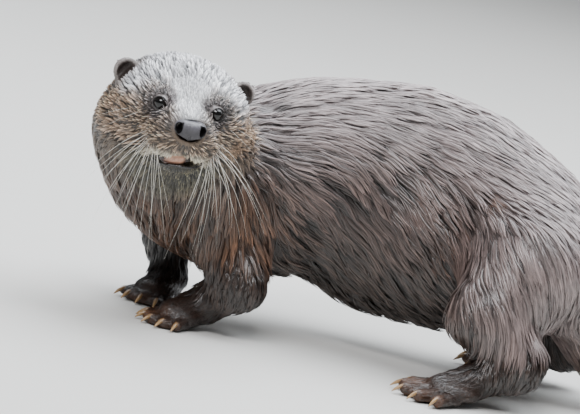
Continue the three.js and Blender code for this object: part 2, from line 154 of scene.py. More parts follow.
def noise(p: Array, size: float, seed: int) -> Array:
    """Smooth random field from -1 to 1: the corners of a grid of that size, hashed and blended by cubics.

    Args:
        p: Points.
        size: Spacing of the grid.
        seed: Number that tells one field from another.

    Returns:
        A value for each point.
    """
    q = p / size + seed * 17.31
    cell = np.floor(q).astype(np.int64)
    t = (q - cell).astype(np.float32)
    t = t * t * (3.0 - 2.0 * t)
    total = np.zeros(len(p), dtype=np.float32)
    for corner in range(8):
        bits = np.array([corner & 1, corner >> 1 & 1, corner >> 2], dtype=np.int64)
        c = cell + bits
        h = (c[:, 0] * 374761393 + c[:, 1] * 668265263 + c[:, 2] * 2147483647 + seed * 1274126177) & 0xFFFFFFFF
        h = ((h ^ (h >> 13)) * 1274126177) & 0xFFFFFFFF
        value = ((h ^ (h >> 16)) & 0xFFFF) / 32767.5 - 1.0
        total += value * np.prod(np.where(bits, t, 1.0 - t), axis=1)
    return total


def slope(f: Field, p: Array, h: float) -> Array:
    """Gradient of a field by differences over 2h.

    Args:
        f: The field.
        p: Points.
        h: Half the difference.

    Returns:
        Gradients as rows.
    """
    out = np.empty_like(p)
    for axis in range(3):
        step = np.zeros(3, dtype=np.float32)
        step[axis] = h
        out[:, axis] = (f(p + step) - f(p - step)) / (2.0 * h)
    return out


# ---- The flesh ----------------------------------------------------------------------------------------


def catmull_rom(points: Array, t: Array) -> Array:
    """Centripetal Catmull-Rom curve through the rows of points, at t from 0 to 1.

    Args:
        points: Rows that the curve passes through.
        t: Places along it.

    Returns:
        A row for each place.
    """
    ends = [2 * points[0] - points[1], *points, 2 * points[-1] - points[-2]]
    pts = np.array(ends, dtype=np.float64)
    s = t * (len(points) - 1)
    i = np.minimum(s.astype(int), len(points) - 2)
    w = (s - i)[:, None]
    x0, x1, x2, x3 = pts[i], pts[i + 1], pts[i + 2], pts[i + 3]
    d0, d1, d2 = (np.sqrt(np.linalg.norm(b - a, axis=1, keepdims=True))
                  for a, b in ((x0, x1), (x1, x2), (x2, x3)))
    t1 = ((x1 - x0) / d0 - (x2 - x0) / (d0 + d1) + (x2 - x1) / d1) * d1
    t2 = ((x2 - x1) / d1 - (x3 - x1) / (d1 + d2) + (x3 - x2) / d2) * d1
    return x1 + t1 * w + (-3 * x1 + 3 * x2 - 2 * t1 - t2) * w**2 + (2 * x1 - 2 * x2 + t1 + t2) * w**3


@dataclass
class Sweep:
    """An oval section carried along a curve through its stations.

    Each station is x, y, z, half width and half height.
    """

    stations: Sequence[Sequence[float]]
    slices: int = 181
    chunk: int = 120000
    at: Array = field(init=False)
    tangent: Array = field(init=False)
    side: Array = field(init=False)
    up: Array = field(init=False)
    size: Array = field(init=False)
    step: float = field(init=False)

    def __post_init__(self) -> None:
        """Lays out the slices: centre, frame and half sizes of each."""
        table = np.array(self.stations, dtype=np.float64)
        t = np.linspace(0.0, 1.0, self.slices)
        self.at = f32(catmull_rom(table[:, :3], t))
        self.tangent = f32(unit(np.gradient(self.at, axis=0)))
        self.side = f32(unit(np.cross([0.0, 0.0, 1.0], self.tangent)))
        self.up = f32(np.cross(self.tangent, self.side))
        flat = np.c_[table[:, 3:5], np.zeros(len(table))]
        self.size = f32(catmull_rom(flat, t)[:, :2])
        self.step = float(np.linalg.norm(np.diff(self.at, axis=0), axis=1).mean())

    def nearest(self, p: Array) -> Array:
        """Number of the slice nearest to each point.

        Args:
            p: Points in the layout frame.

        Returns:
            A number for each point.
        """
        out = np.empty(len(p), dtype=np.int32)
        squares = (self.at**2).sum(axis=1)
        for start in range(0, len(p), self.chunk):
            rows = slice(start, start + self.chunk)
            out[rows] = np.argmin(squares - 2.0 * (p[rows] @ self.at.T), axis=1)
        return out

    def distance(self, p: Array) -> Array:
        """Distance from the oval of the nearest slice, rounded over at both ends.

        Args:
            p: Points in the layout frame.

        Returns:
            Distances.
        """
        n = self.nearest(p)
        out = p - self.at[n]
        wide, tall = self.size[n, 0], self.size[n, 1]
        along = (out * self.tangent[n]).sum(axis=1)
        past = np.sign(along) * np.maximum(np.abs(along) - self.step / 2, 0.0)
        q = np.stack([past / np.minimum(wide, tall), (out * self.side[n]).sum(axis=1) / wide,
                      (out * self.up[n]).sum(axis=1) / tall], axis=1)
        k0 = np.linalg.norm(q, axis=1)
        k1 = np.linalg.norm(q / np.stack([np.minimum(wide, tall), wide, tall], axis=1), axis=1)
        return k0 * (k0 - 1.0) / np.maximum(k1, 1e-8)


@dataclass
class HeadForm:
    """The head in its own frame: +X to the nose, +Y to its left, +Z to the crown, origin between the eyes.

    The dish before each eye starts so far out along the eye's axis and has that radius; the mound has its
    middle so far out and that radius. Each lump has a middle, radii and whether it is one of a pair.
    """

    at: tuple[float, float, float] = (-95.0, -132.0, 185.0)
    yaw: float = 9.5
    pitch: float = -8.6
    eye: tuple[float, float, float] = (2.6, 21.7, 0.6)
    eye_r: float = 6.2
    eye_out: float = 25.0
    eye_lift: float = 10.0
    dish: tuple[float, float] = (6.6, 15.0)
    mound: tuple[float, float] = (-0.4, 8.9)
    nose: tuple[float, float, float] = (26.5, 2.0, -9.6)
    ear: tuple[float, float, float] = (-50.0, 46.5, 4.0)
    lumps: tuple[tuple[tuple[float, float, float], tuple[float, float, float], bool], ...] = (
        ((-48, 0, -8), (50, 47, 33), False),  # cranium
        ((-42, 24, -14), (42, 29, 31), True),  # temples
        ((-58, 25, -34), (34, 33, 34), True),  # jowls
        ((-4, 0, -7), (36, 24, 15), False),  # bridge
        ((-18, 29, -15), (24, 22, 19), True),  # cheeks
        ((-9, 22, 5), (13, 14, 10), True),  # brows
        ((8, 0, -17), (25, 23, 17), False),  # snout
        ((11, 12, -24), (18, 17, 13), True),  # whisker pads
        ((-36, 0, -42), (40, 38, 27), False),  # throat
        ((0, 0, -41), (25, 19, 11), False),  # chin
    )
    axes: Array = field(init=False)

    def __post_init__(self) -> None:
        """Works out the frame's axes in the layout frame, as the rows of a matrix."""
        yaw, pitch = math.radians(self.yaw), math.radians(self.pitch)
        forward = np.array([math.sin(yaw) * math.cos(pitch), -math.cos(yaw) * math.cos(pitch), math.sin(pitch)])
        left = np.array([math.cos(yaw), math.sin(yaw), 0.0])
        self.axes = f32([forward, left, np.cross(forward, left)])

    def into(self, p: Array) -> Array:
        """Layout points in the head's frame."""
        return (p - f32(self.at)) @ self.axes.T

    def out(self, h: Array) -> Array:
        """Head points in the layout frame."""
        return f32(f32(h) @ self.axes + f32(self.at))

    def turn(self, v: Array) -> Array:
        """Directions in the head's frame, in the layout frame."""
        return f32(f32(v) @ self.axes)

    def distance(self, h: Array) -> Array:
        """The blended lumps and a mound round each eye, less a dish before it.

        Args:
            h: Points in the head's frame.

        Returns:
            Distances.
        """
        half = f32(folded(h))
        d = empty(len(h))
        for at, r, pair in self.lumps:
            d = union(d, lump(half if pair else h, at, r), 9.0)
        start, r = self.dish
        d = union(d, self.ball(half, *self.mound), 4.0)
        return carve(d, self.ball(half, start + r, r), 2.0)

    def ball(self, half: Array, out: float, r: float) -> Array:
        """Field of a ball so far out along the left eye's axis."""
        middle = f32(np.array(self.eye) + self.eye_axis(1.0) * out)
        return f32(np.linalg.norm(half - middle, axis=1) - r)

    def eye_axis(self, side: float) -> Array:
        """Direction in which one eye looks, in the head's frame."""
        a, b = math.radians(self.eye_out), math.radians(self.eye_lift)
        return np.array([math.cos(a) * math.cos(b), side * math.sin(a) * math.cos(b), math.sin(b)])


# The fold of skin between the ribs and the left thigh, as points of its floor.
FLANK_FOLD = ((107, -33, 96), (112, -38, 117), (121, -41, 135), (133, -45, 148), (146, -46, 162))


@dataclass
class Foot:
    """Sizes of a foot in its own frame: +X to the toes, origin on the floor under the ball."""

    palm: tuple[float, float, float]
    web: tuple[float, float, float]
    spread: float
    fan: float
    toe: tuple[float, ...]
    r: float
    claw: float


TOES = 5
FORE = Foot((17, 20, 10), (15, 19, 6), 13, 15, (20, 26, 29, 27, 21), 5.2, 8)
HIND = Foot((22, 24, 10), (21, 24, 6), 17, 17, (30, 39, 43, 40, 31), 6.0, 9)
SOLE_DEPTH = 1.6


@dataclass
class LegForm:
    """One leg: its joints from the body down, each x, y, z and radius, and its foot."""

    name: str
    joints: tuple[tuple[float, float, float, float], ...]
    foot: Foot
    heading: float
    left: bool

    def foot_frame(self) -> tuple[Array, Array]:
        """Place of the foot's origin and the rows of its axes, in the layout frame.

        Returns:
            The place and the axes.
        """
        a = math.pi + math.radians(self.heading)
        axes = f32([[math.cos(a), math.sin(a), 0], [-math.sin(a), math.cos(a), 0], [0, 0, 1]])
        return f32([self.joints[-1][0], self.joints[-1][1], 0.0]), axes

    def toes(self) -> tuple[Array, Array]:
        """Root and tip of each toe, inner one first, in the foot's frame.

        Returns:
            Roots and tips as rows.
        """
        i = np.arange(TOES) - 2.0
        outward = 1.0 if self.left else -1.0
        angle = outward * math.radians(self.foot.fan) * i
        height = np.full(TOES, self.foot.r - SOLE_DEPTH / 2)
        root = np.stack([np.full(TOES, -2.0), outward * self.foot.spread * i / 2, height], axis=1)
        reach = np.array(self.foot.toe) - self.foot.r
        tip = root + np.stack([np.cos(angle), np.sin(angle), np.zeros(TOES)], axis=1) * reach[:, None]
        return f32(root), f32(tip)

    def distance(self, p: Array) -> Array:
        """Bones wrapped in flesh, then the palm and web, then the toes with their knuckles and pads.

        Args:
            p: Points in the layout frame.

        Returns:
            Distances.
        """
        d = empty(len(p))
        for a, b in zip(self.joints, self.joints[1:]):
            d = union(d, bone(p, a[:3], b[:3], a[3], b[3]), 10.0)
        origin, axes = self.foot_frame()
        near = d < 60.0
        q = (p[near] - origin) @ axes.T
        ball = q - f32([0.0, 0.0, self.joints[-1][2]])
        e = union(d[near], lump(ball, (-4, 0, 0), self.foot.palm), 6.0)
        e = union(e, lump(ball, (self.foot.palm[0] * 0.6, 0, -7), self.foot.web), 4.0)
        root, tip = self.toes()
        r = self.foot.r
        for a, b in zip(root, tip):
            knuckle = a + (b - a) * 0.55 + f32([0.0, 0.0, r * 0.25])
            toe = union(bone(q, a, knuckle, r * 0.92, r * 0.86), bone(q, knuckle, b, r * 0.86, r * 0.9), 3.0)
            e = union(e, toe, 2.4)
        d[near] = e
        return d


class OtterForm:
    """The whole animal as one field, out to the tips of its coat."""

    def __init__(self) -> None:
        """Holds the centre lines, the head and the legs."""
        self.spine = Sweep((
            (232, -16, 107, 44, 45), (200, -12, 119, 62, 69), (146, 20, 122.5, 67, 92.5), (85, 40, 125, 67, 98),
            (20, 34, 129, 68, 85), (-42, 10, 117, 69, 77), (-84, -24, 124, 66, 68), (-106, -62, 145, 61, 58)))
        self.tail = Sweep((
            (226, -16, 112, 40, 40), (250, -8, 76, 33, 33), (286, 6, 42, 28, 27), (340, 20, 24, 24, 23),
            (410, 20, 18, 20, 18.5), (490, 4, 13, 15, 13.5), (560, -18, 9, 11, 9.5), (608, -40, 6, 7, 6.5)))
        self.head = HeadForm()
        self.legs = (
            LegForm("fore_left", ((-48, -34, 96, 40), (-26, -54, 44, 22), (-50, -42, 20, 15),
                                  (-70, -56, 10, 12)), FORE, 38, True),
            LegForm("fore_right", ((-70, 44, 92, 36), (-92, 52, 52, 20), (-84, 42, 20, 14),
                                   (-92, 26, 10, 12)), FORE, 66, False),
            LegForm("hind_left", ((198, -54, 108, 54), (174, -84, 72, 33), (205, -92, 37, 21),
                                  (154, -111, 11, 13)), HIND, 20, True),
            LegForm("hind_right", ((208, 34, 112, 52), (198, 69, 71, 30), (250, 65, 36, 21),
                                   (206, 72, 11, 13)), HIND, 4, False))

    def distance(self, p: Array) -> Array:
        """Trunk and tail, then the head, then each leg, blended in that order.

        Args:
            p: Points in the layout frame.

        Returns:
            Distances.
        """
        p = np.ascontiguousarray(p, dtype=np.float32)
        d = union(self.spine.distance(p), self.tail.distance(p), 16.0)
        d = union(d, self.head.distance(self.head.into(p)), 22.0)
        for leg in self.legs:
            d = union(d, leg.distance(p), 16.0 if leg.foot is FORE else 24.0)
        return f32(d)


# ---- Grids and surfaces -------------------------------------------------------------------------------


def graded(low: float, high: float, coarse: float, spans: Sequence[tuple[float, float, float]]) -> Array:
    """Coordinates from low to high: steps of coarse, and of its own step inside each span (from, to, step).

    Args:
        low: First coordinate.
        high: Last one, or a little less.
        coarse: The even step.
        spans: Where it is finer.

    Returns:
        The coordinates.
    """
    out = [low]
    while out[-1] < high:
        x = out[-1]
        step = min([s for a, b, s in spans if a <= x < b] + [coarse])
        out.append(x + step)
    return f32(out)


class Grid:
    """Values of a field on a grid whose planes may stand unevenly."""

    def __init__(self, axes: Sequence[Array], values: Array | None = None) -> None:
        """Takes the three lists of coordinates and the values, x first."""
        self.axes = [f32(a) for a in axes]
        self.values = values

    def fill(self, values: Array) -> "Grid":
        """Takes the values of all its points in their order."""
        self.values = values.reshape([len(a) for a in self.axes])
        return self

    def points(self) -> Array:
        """Every grid point as rows, in the order of the values."""
        return np.stack(np.meshgrid(*self.axes, indexing="ij"), axis=-1).reshape(-1, 3)

    def sample(self, p: Array) -> Array:
        """Value at each point, by trilinear blending of the eight corners of its cell.

        Args:
            p: Points.

        Returns:
            Values.
        """
        index, weight = [], []
        for k, axis in enumerate(self.axes):
            i = np.clip(np.searchsorted(axis, p[:, k]) - 1, 0, len(axis) - 2)
            index.append(i)
            weight.append(f32(np.clip((p[:, k] - axis[i]) / (axis[i + 1] - axis[i]), 0.0, 1.0)))
        total = np.zeros(len(p), dtype=np.float32)
        for corner in range(8):
            b = [corner & 1, corner >> 1 & 1, corner >> 2]
            w = np.ones(len(p), dtype=np.float32)
            for k in range(3):
                w *= weight[k] if b[k] else 1.0 - weight[k]
            total += w * self.values[index[0] + b[0], index[1] + b[1], index[2] + b[2]]
        return total

    def normal(self, p: Array, h: float = 2.5) -> Array:
        """Outward direction at each point."""
        return unit(slope(self.sample, p, h))


def banded(f: Field, axes: Sequence[Array], coarse: float, band: float) -> Grid:
    """A field on a graded grid, worked out exactly near its surface and blended from a coarse grid elsewhere.

    Args:
        f: The field.
        axes: Coordinates of the grid's planes.
        coarse: Spacing of the coarse grid.
        band: How near to the surface, in millimetres, the exact values reach.

    Returns:
        The grid.
    """
    rough = Grid([np.arange(a[0] - 1, a[-1] + coarse, coarse, dtype=np.float32) for a in axes])
    rough.fill(f32(f(rough.points())))
    grid = Grid(axes)
    p = grid.points()
    values = rough.sample(p)
    near = np.abs(values) < band
    values[near] = f(p[near])
    return grid.fill(values)


def net_of(grid: Grid) -> tuple[Array, Array]:
    """Closed surface where a grid's values pass zero, as vertices and quads.

    One vertex stands in each cell that the surface crosses, at the mean of the points where it crosses the
    cell's edges, and one quad round each crossed edge joins the four cells that share it.

    Args:
        grid: The grid.

    Returns:
        Vertices and quads.
    """
    v = grid.values.copy()
    for k in range(3):
        for end in (0, -1):
            edge = [slice(None)] * 3
            edge[k] = end
            v[tuple(edge)] = np.maximum(v[tuple(edge)], 1.0)
    total = np.zeros((*(n - 1 for n in v.shape), 3), dtype=np.float32)
    count = np.zeros(total.shape[:3], dtype=np.float32)
    inside = v < 0
    crossed = []
    for k in range(3):
        lo, hi = [slice(None)] * 3, [slice(None)] * 3
        lo[k], hi[k] = slice(0, -1), slice(1, None)
        here, there = tuple(lo), tuple(hi)
        at = np.nonzero(inside[here] != inside[there])
        a, b = v[here][at], v[there][at]
        place = np.stack([axis[i] for axis, i in zip(grid.axes, at)], axis=1)
        place[:, k] += a / (a - b) * (grid.axes[k][at[k] + 1] - grid.axes[k][at[k]])
        cells = []
        for du, dw in ((0, 0), (0, 1), (1, 0), (1, 1)):
            cell = list(at)
            cell[(k + 1) % 3] = cell[(k + 1) % 3] - du
            cell[(k + 2) % 3] = cell[(k + 2) % 3] - dw
            cells.append(tuple(cell))
            np.add.at(total, cells[-1], place)
            np.add.at(count, cells[-1], 1.0)
        crossed.append((cells, inside[here][at]))
    used = count > 0
    number = np.full(count.shape, -1, dtype=np.int64)
    number[used] = np.arange(int(used.sum()))
    quads = []
    for cells, starts in crossed:
        quad = np.stack([number[cells[c]] for c in (0, 2, 3, 1)], axis=1)
        quad[~starts] = quad[~starts][:, ::-1]
        quads.append(quad)
    return f32(total[used] / count[used][:, None]), np.concatenate(quads)


# ---- Parts of the animal, its colours and the lie of its coat -----------------------------------------


class Zones:
    """Soft weights from 0 to 1 of the parts of the animal, at a set of points in the layout frame."""

    def __init__(self, form: OtterForm, p: Array) -> None:
        """Works every weight out from the distances to the parts of the form.

        Args:
            form: The animal.
            p: Points in the layout frame.
        """
        self.p = p = np.ascontiguousarray(p, dtype=np.float32)
        head = form.head
        self.h = h = head.into(p)
        x, y, z = h.T
        half = folded(h)
        side = half[:, 1]
        n = form.spine.nearest(p)
        out = p - form.spine.at[n]
        self.station = n / (form.spine.slices - 1.0)
        self.rise = (out * form.spine.up[n]).sum(axis=1) / form.spine.size[n, 1]
        self.rearward = -form.spine.tangent[n]
        self.outward = out
        trunk = form.spine.distance(p)
        m = form.tail.nearest(p)
        self.tail_at = m / (form.tail.slices - 1.0)
        self.tailward = form.tail.tangent[m]
        self.tail = smooth(8, -8, form.tail.distance(p) - trunk) * smooth(222, 250, p[:, 0])
        self.head = smooth(14, 3, head.distance(h)) * smooth(-100, -66, x)
        fold = empty(len(p))
        for a, b in zip(FLANK_FOLD, FLANK_FOLD[1:]):
            fold = np.minimum(fold, bone(p, a, b, 0.0, 0.0))
        self.flank_fold = smooth(11, 2, fold + 3.5 * noise(p, 9.0, 17))
        self.foot, self.leg, self.far, self.toe = np.zeros((4, len(p)), dtype=np.float32)
        self.legward = np.zeros_like(p) + f32([0, 0, -1])
        for leg in form.legs:
            near = smooth(8, -3, leg.distance(p) - np.minimum(trunk, head.distance(h)))
            origin, axes = leg.foot_frame()
            q = (p - origin) @ axes.T
            foot = near * smooth(34, 20, p[:, 2]) * smooth(-34, -14, q[:, 0])
            toe = foot * smooth(leg.foot.palm[0] * 0.35, leg.foot.palm[0] * 0.95, q[:, 0])
            self.leg = np.maximum(self.leg, near * smooth(78, 52, p[:, 2]))
            self.foot = np.maximum(self.foot, foot)
            self.toe = np.maximum(self.toe, toe)
            # The far foreleg gets its own weight, for the painted shade on it.
            if leg.name == "fore_right":
                self.far = np.maximum(self.far, near * smooth(118, 84, p[:, 2]))
            ahead = axes[0] + axes[1] * (q[:, 1] / 60.0)[:, None] - np.array([0, 0, 0.25])
            self.legward = mix(self.legward, np.zeros(3), foot) + ahead * foot[:, None]
        w = self.head
        away = half - np.array(head.eye)
        self.eye_d = np.linalg.norm(away, axis=1)
        round_eye = np.sqrt(np.maximum(self.eye_d**2 - (away @ head.eye_axis(1.0)) ** 2, 0))
        below = smooth(0.0, 0.6, (-away[:, 2] - 0.3 * away[:, 0]) / np.maximum(round_eye, 1))
        creases = np.maximum(smooth(1.2, 0.4, np.abs(round_eye - 8.2)),
                             smooth(1.3, 0.4, np.abs(round_eye - 11.6)))
        # The fold weight marks the creases below each eye, which are darkened as painted shade.
        self.fold = w * smooth(17, 13, self.eye_d) * below * creases
        self.eye = w * smooth(19, 10, self.eye_d)
        self.muzzle = w * smooth(-14, 12, x)
        self.crown = w * smooth(-6, 8, z + side * 0.12) * smooth(2, -18, x)
        self.brow = w * smooth(-12 - 0.1 * x, -2 - 0.1 * x, z) * smooth(22, 9, side + np.maximum(x, 0) * 0.25) \
            * smooth(-40, -10, x)
        self.cheek = w * smooth(18, 32, side) * smooth(6, -10, z) * smooth(-44, -34, z) * smooth(14, -6, x)
        over_lip = z - (-27.5 - 0.38 * (30.0 - x))
        self.lip = w * smooth(3.8, 1.2, np.abs(over_lip + 1.6)) * smooth(-12, 4, x)
        self.chin = w * smooth(-36, -44, z) * smooth(-26, 0, x)
        self.throat = np.clip(w + smooth(40, 16, head.distance(h)), 0, 1) * smooth(-43, -50, z) \
            * smooth(-60, -20, x) * smooth(30, 8, np.abs(y + 13)) * smooth(-84, -60, z)
        self.earward = w * smooth(24, 12, np.linalg.norm(half - np.array(head.ear), axis=1))
        self.chest = (1 - w) * smooth(0.62, 0.86, self.station) * smooth(0.45, -0.15, self.rise)
        self.belly = (1 - w) * smooth(-0.45, -0.85, self.rise) * smooth(0.05, 0.25, self.station)

    def depth(self) -> Array:
        """Depth of the coat over the skin in millimetres: deep on the trunk, thin on muzzle, feet and tail.

        Returns:
            A depth for each point.
        """
        d = np.full(len(self.p), 7.0, dtype=np.float32)
        d = d + (smooth(0.05, 0.3, self.tail_at) * -1.5 - smooth(0.3, 1.0, self.tail_at) * 3.3) * self.tail
        for depth, weight in ((3.2, self.leg), (1.0, self.foot), (0.5, self.toe), (3.8, self.head),
                              (2.0, np.maximum(self.muzzle, self.eye))):
            d = d + (depth - d) * weight
        d = d + (3.0 - d) * self.crown * (1 - self.eye)
        return f32(d + (0.8 - d) * self.earward)

    def flow(self) -> Array:
        """Direction in which the hair lies, not yet laid along the skin.

        On the trunk it runs back from the neck and falls the more the lower it lies; at the chest it hangs;
        on the head it spreads away from the nose; down the legs, forwards on the feet and along the tail.

        Returns:
            Directions as rows.
        """
        down = f32([0.0, 0.0, -1.0])
        fall = 0.1 + 0.75 * smooth(0.75, -0.1, self.rise)
        fall = fall + 0.9 * smooth(0.22, 0.02, self.station) * (self.rise < 0.7)
        d = self.rearward * (1.0 - 0.55 * self.chest)[:, None] + down * (fall + 0.9 * self.chest)[:, None]
        d = mix(d, down * 1.2, self.leg) * (1 - self.foot)[:, None] + self.legward * self.foot[:, None]
        d = mix(d, np.zeros(3), self.tail) + self.tailward * self.tail[:, None]
        away = self.h - f32([38.0, 0.0, -14.0])
        away = unit(away) + f32([-0.35, 0, 0])
        away[:, 2] -= 0.35 * smooth(-30, -48, self.h[:, 2])
        ones = np.ones(len(away))
        eye = f32(OTTER.head.eye) * np.stack([ones, np.sign(self.h[:, 1]), ones], axis=1)
        away = away + unit(self.h - eye) * (1.3 * smooth(20, 9, self.eye_d))[:, None]
        away = OTTER.head.turn(away)
        d = mix(d, np.zeros(3), self.head) + away * self.head[:, None]
        return f32(unit(d))


OTTER = OtterForm()


def linear(srgb: Array) -> Array:
    """Display colours, 0 to 255, as scene-linear ones: ((c + 0.055) / 1.055)^2.4 above the toe of the curve."""
    c = f32(srgb) / 255.0
    return f32(np.where(c <= 0.04045, c / 12.92, ((np.maximum(c, 0) + 0.055) / 1.055) ** 2.4))


class Markings:
    """The colours of the animal, shared by its skin and its coat."""

    # BACK is grey-brown fur lightened by painted sheen of the light from above; FLANK and BELLY are darker fur
    # with painted shade of the underside in them.
    BACK = (144, 131, 130)
    FLANK = (96, 79, 74)
    CHEST = (84, 59, 43)
    BELLY = (52, 40, 33)
    # Pale fur made whiter by painted sheen of the light from above.
    CROWN = (240, 239, 243)
    FACE = (164, 147, 136)
    CHEEK = (164, 136, 112)
    # Pale fur made whiter by painted sheen of the light from above.
    BRIDGE = (250, 251, 254)
    EYE_RING = (134, 127, 128)
    # Painted shade in the creases below each eye.
    EYE_CREASE_SHADE = (84, 76, 74)
    WARM = (112, 74, 54)
    PAD = (166, 142, 120)
    LIP = (226, 218, 196)
    CHIN = (100, 95, 76)
    THROAT = (78, 72, 55)
    JOWL = (92, 76, 60)
    EAR_STRIP = (192, 164, 134)
    EAR = (120, 112, 108)
    # Painted shade in the hollow of each ear.
    EAR_CUP_SHADE = (44, 34, 30)
    LEG = (52, 38, 31)
    # The far foreleg, darker than the near legs: painted shade.
    FAR_LEG_SHADE = (30, 21, 17)
    FOOT = (54, 38, 30)
    TOE = (102, 68, 48)
    TAIL = (118, 100, 93)

    @classmethod
    def colour(cls, zones: Zones) -> Array:
        """Base colour at each point, scene-linear.

        Args:
            zones: The parts of the animal at the points.

        Returns:
            Colours as rows.
        """
        z = zones
        h = z.h
        mottle = noise(z.p, 34.0, 3) * 0.5 + noise(z.p, 13.0, 5) * 0.5
        ear = Skin.ear_local(h)
        strip = z.head * smooth(9, 3, np.abs(h[:, 0] + 46)) * smooth(2, -8, h[:, 2])
        strip = strip * smooth(-42, -26, h[:, 2])
        c = np.tile(f32(cls.BACK), (len(z.p), 1))
        for colour, weight in (
                # Darker lower down the trunk: the fur's own colour, with painted shade of the underside.
                (cls.FLANK, smooth(0.75, 0.1, z.rise) * (0.45 + 0.55 * smooth(0.08, 0.32, z.station))),
                (cls.BELLY, 0.7 * smooth(0.15, -0.5, z.rise) * (1 - z.chest) * smooth(0.1, 0.28, z.station)),
                (cls.BELLY, z.belly), (cls.CHEST, z.chest), (cls.WARM, z.flank_fold * 0.8),
                (cls.THROAT, z.throat * (1 - z.head) * 0.35), (cls.TAIL, z.tail), (cls.LEG, z.leg),
                # The far foreleg darkened as painted shade.
                (cls.FAR_LEG_SHADE, z.far), (cls.FOOT, z.foot),
                (cls.TOE, z.toe * smooth(-0.6, 0.6, mottle + 0.2)), (cls.FACE, z.head),
                # CROWN and BRIDGE: pale fur with painted sheen from above.
                (cls.CHEEK, z.cheek), (cls.CROWN, z.crown), (cls.BRIDGE, z.brow * 0.9),
                (cls.PAD, z.muzzle * smooth(-8, -16, h[:, 2])),
                # The creases below each eye are darkened as painted shade.
                (cls.EYE_RING, z.head * smooth(15, 8, z.eye_d) * 0.85), (cls.EYE_CREASE_SHADE, z.fold * 0.8),
                (cls.JOWL, z.head * smooth(-34, -46, h[:, 2]) * 0.8), (cls.EAR_STRIP, strip * 0.8),
                (cls.CHIN, z.chin), (cls.THROAT, z.throat * z.head), (cls.LIP, z.lip * 0.9),
                (cls.EAR, z.earward),
                # Painted shade in the hollow of each ear.
                (cls.EAR_CUP_SHADE, z.earward * smooth(1.3, 0.4, lump(ear, Skin.cup_at, Skin.ear_cup)))):
            c = mix(c, colour, weight)
        c = c * (1.0 + 0.12 * mottle[:, None])
        return linear(np.clip(c, 0, 255))


# ---- Meshes -------------------------------------------------------------------------------------------


@dataclass
class Shape:
    """A mesh before it is handed over: points in layout millimetres, faces by number of corners, and what
    each point carries."""

    points: Array
    faces: list[Array]
    tint: Array | None = None
    maps: dict[str, Array] = field(default_factory=dict)


class Workshop:
    """Turns shapes into Blender objects that ride on the body and stand for their CAD nodes."""

    def __init__(self, form: OtterForm) -> None:
        """Finds where the layout frame lies in the CAD frame, from the middle of the left eye.

        Args:
            form: The animal.
        """
        lo, hi = (np.array(c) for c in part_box("eye_left"))
        eye = form.head.out(np.array([form.head.eye]))[0]
        self.offset = (lo + hi) / 2 / MM - eye
        self.offset[2] = 0.0
        self.total = 0

    def place(self, points: Array) -> Array:
        """Layout millimetres as CAD metres."""
        return (points + self.offset) * MM

    def make(self, name: str, shape: Shape, material: Material,
             replaces: Sequence[str] = ()) -> bpy.types.Object:
        """Builds one object.

        Args:
            name: Name of the piece.
            shape: Its mesh.
            material: Its finish.
            replaces: CAD nodes that the piece stands for.

        Returns:
            The object.
        """
        mesh = bpy.data.meshes.new(name)
        faces = [f for f in shape.faces if len(f)]
        corners = np.concatenate([f.ravel() for f in faces]).astype(np.int32)
        sizes = np.concatenate([np.full(len(f), f.shape[1], dtype=np.int32) for f in faces])
        mesh.vertices.add(len(shape.points))
        mesh.vertices.foreach_set("co", f32(self.place(shape.points)).ravel())
        mesh.loops.add(len(corners))
        mesh.loops.foreach_set("vertex_index", corners)
        mesh.polygons.add(len(sizes))
        mesh.polygons.foreach_set("loop_start", np.r_[0, np.cumsum(sizes)[:-1]].astype(np.int32))
        mesh.polygons.foreach_set("loop_total", sizes)
        mesh.polygons.foreach_set("use_smooth", np.full(len(sizes), True))
        for key, uv in shape.maps.items():
            layer = mesh.uv_layers.new(name=key)
            layer.data.foreach_set("uv", f32(uv[corners]).ravel())
        if shape.tint is not None:
            layer = mesh.color_attributes.new("Tint", "FLOAT_COLOR", "POINT")
            layer.data.foreach_set("color", f32(np.c_[shape.tint, np.ones(len(shape.tint))]).ravel())
        mesh.update(calc_edges=True)
        mesh.materials.append(material)
        obj = bpy.data.objects.new(name, mesh)
        bpy.context.scene.collection.objects.link(obj)
        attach(obj, "root")
        if replaces:
            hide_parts(*replaces)
        count = int((sizes - 2).sum())
        self.total += count
        log.info("%s: %d triangles, in all %d", name, count, self.total)
        return obj


# ---- Finishes -----------------------------------------------------------------------------------------


def rgba(srgb: Sequence[float]) -> tuple[float, ...]:
    """A display colour, 0 to 255, as a socket's value."""
    return (*linear(np.array(srgb)), 1.0)


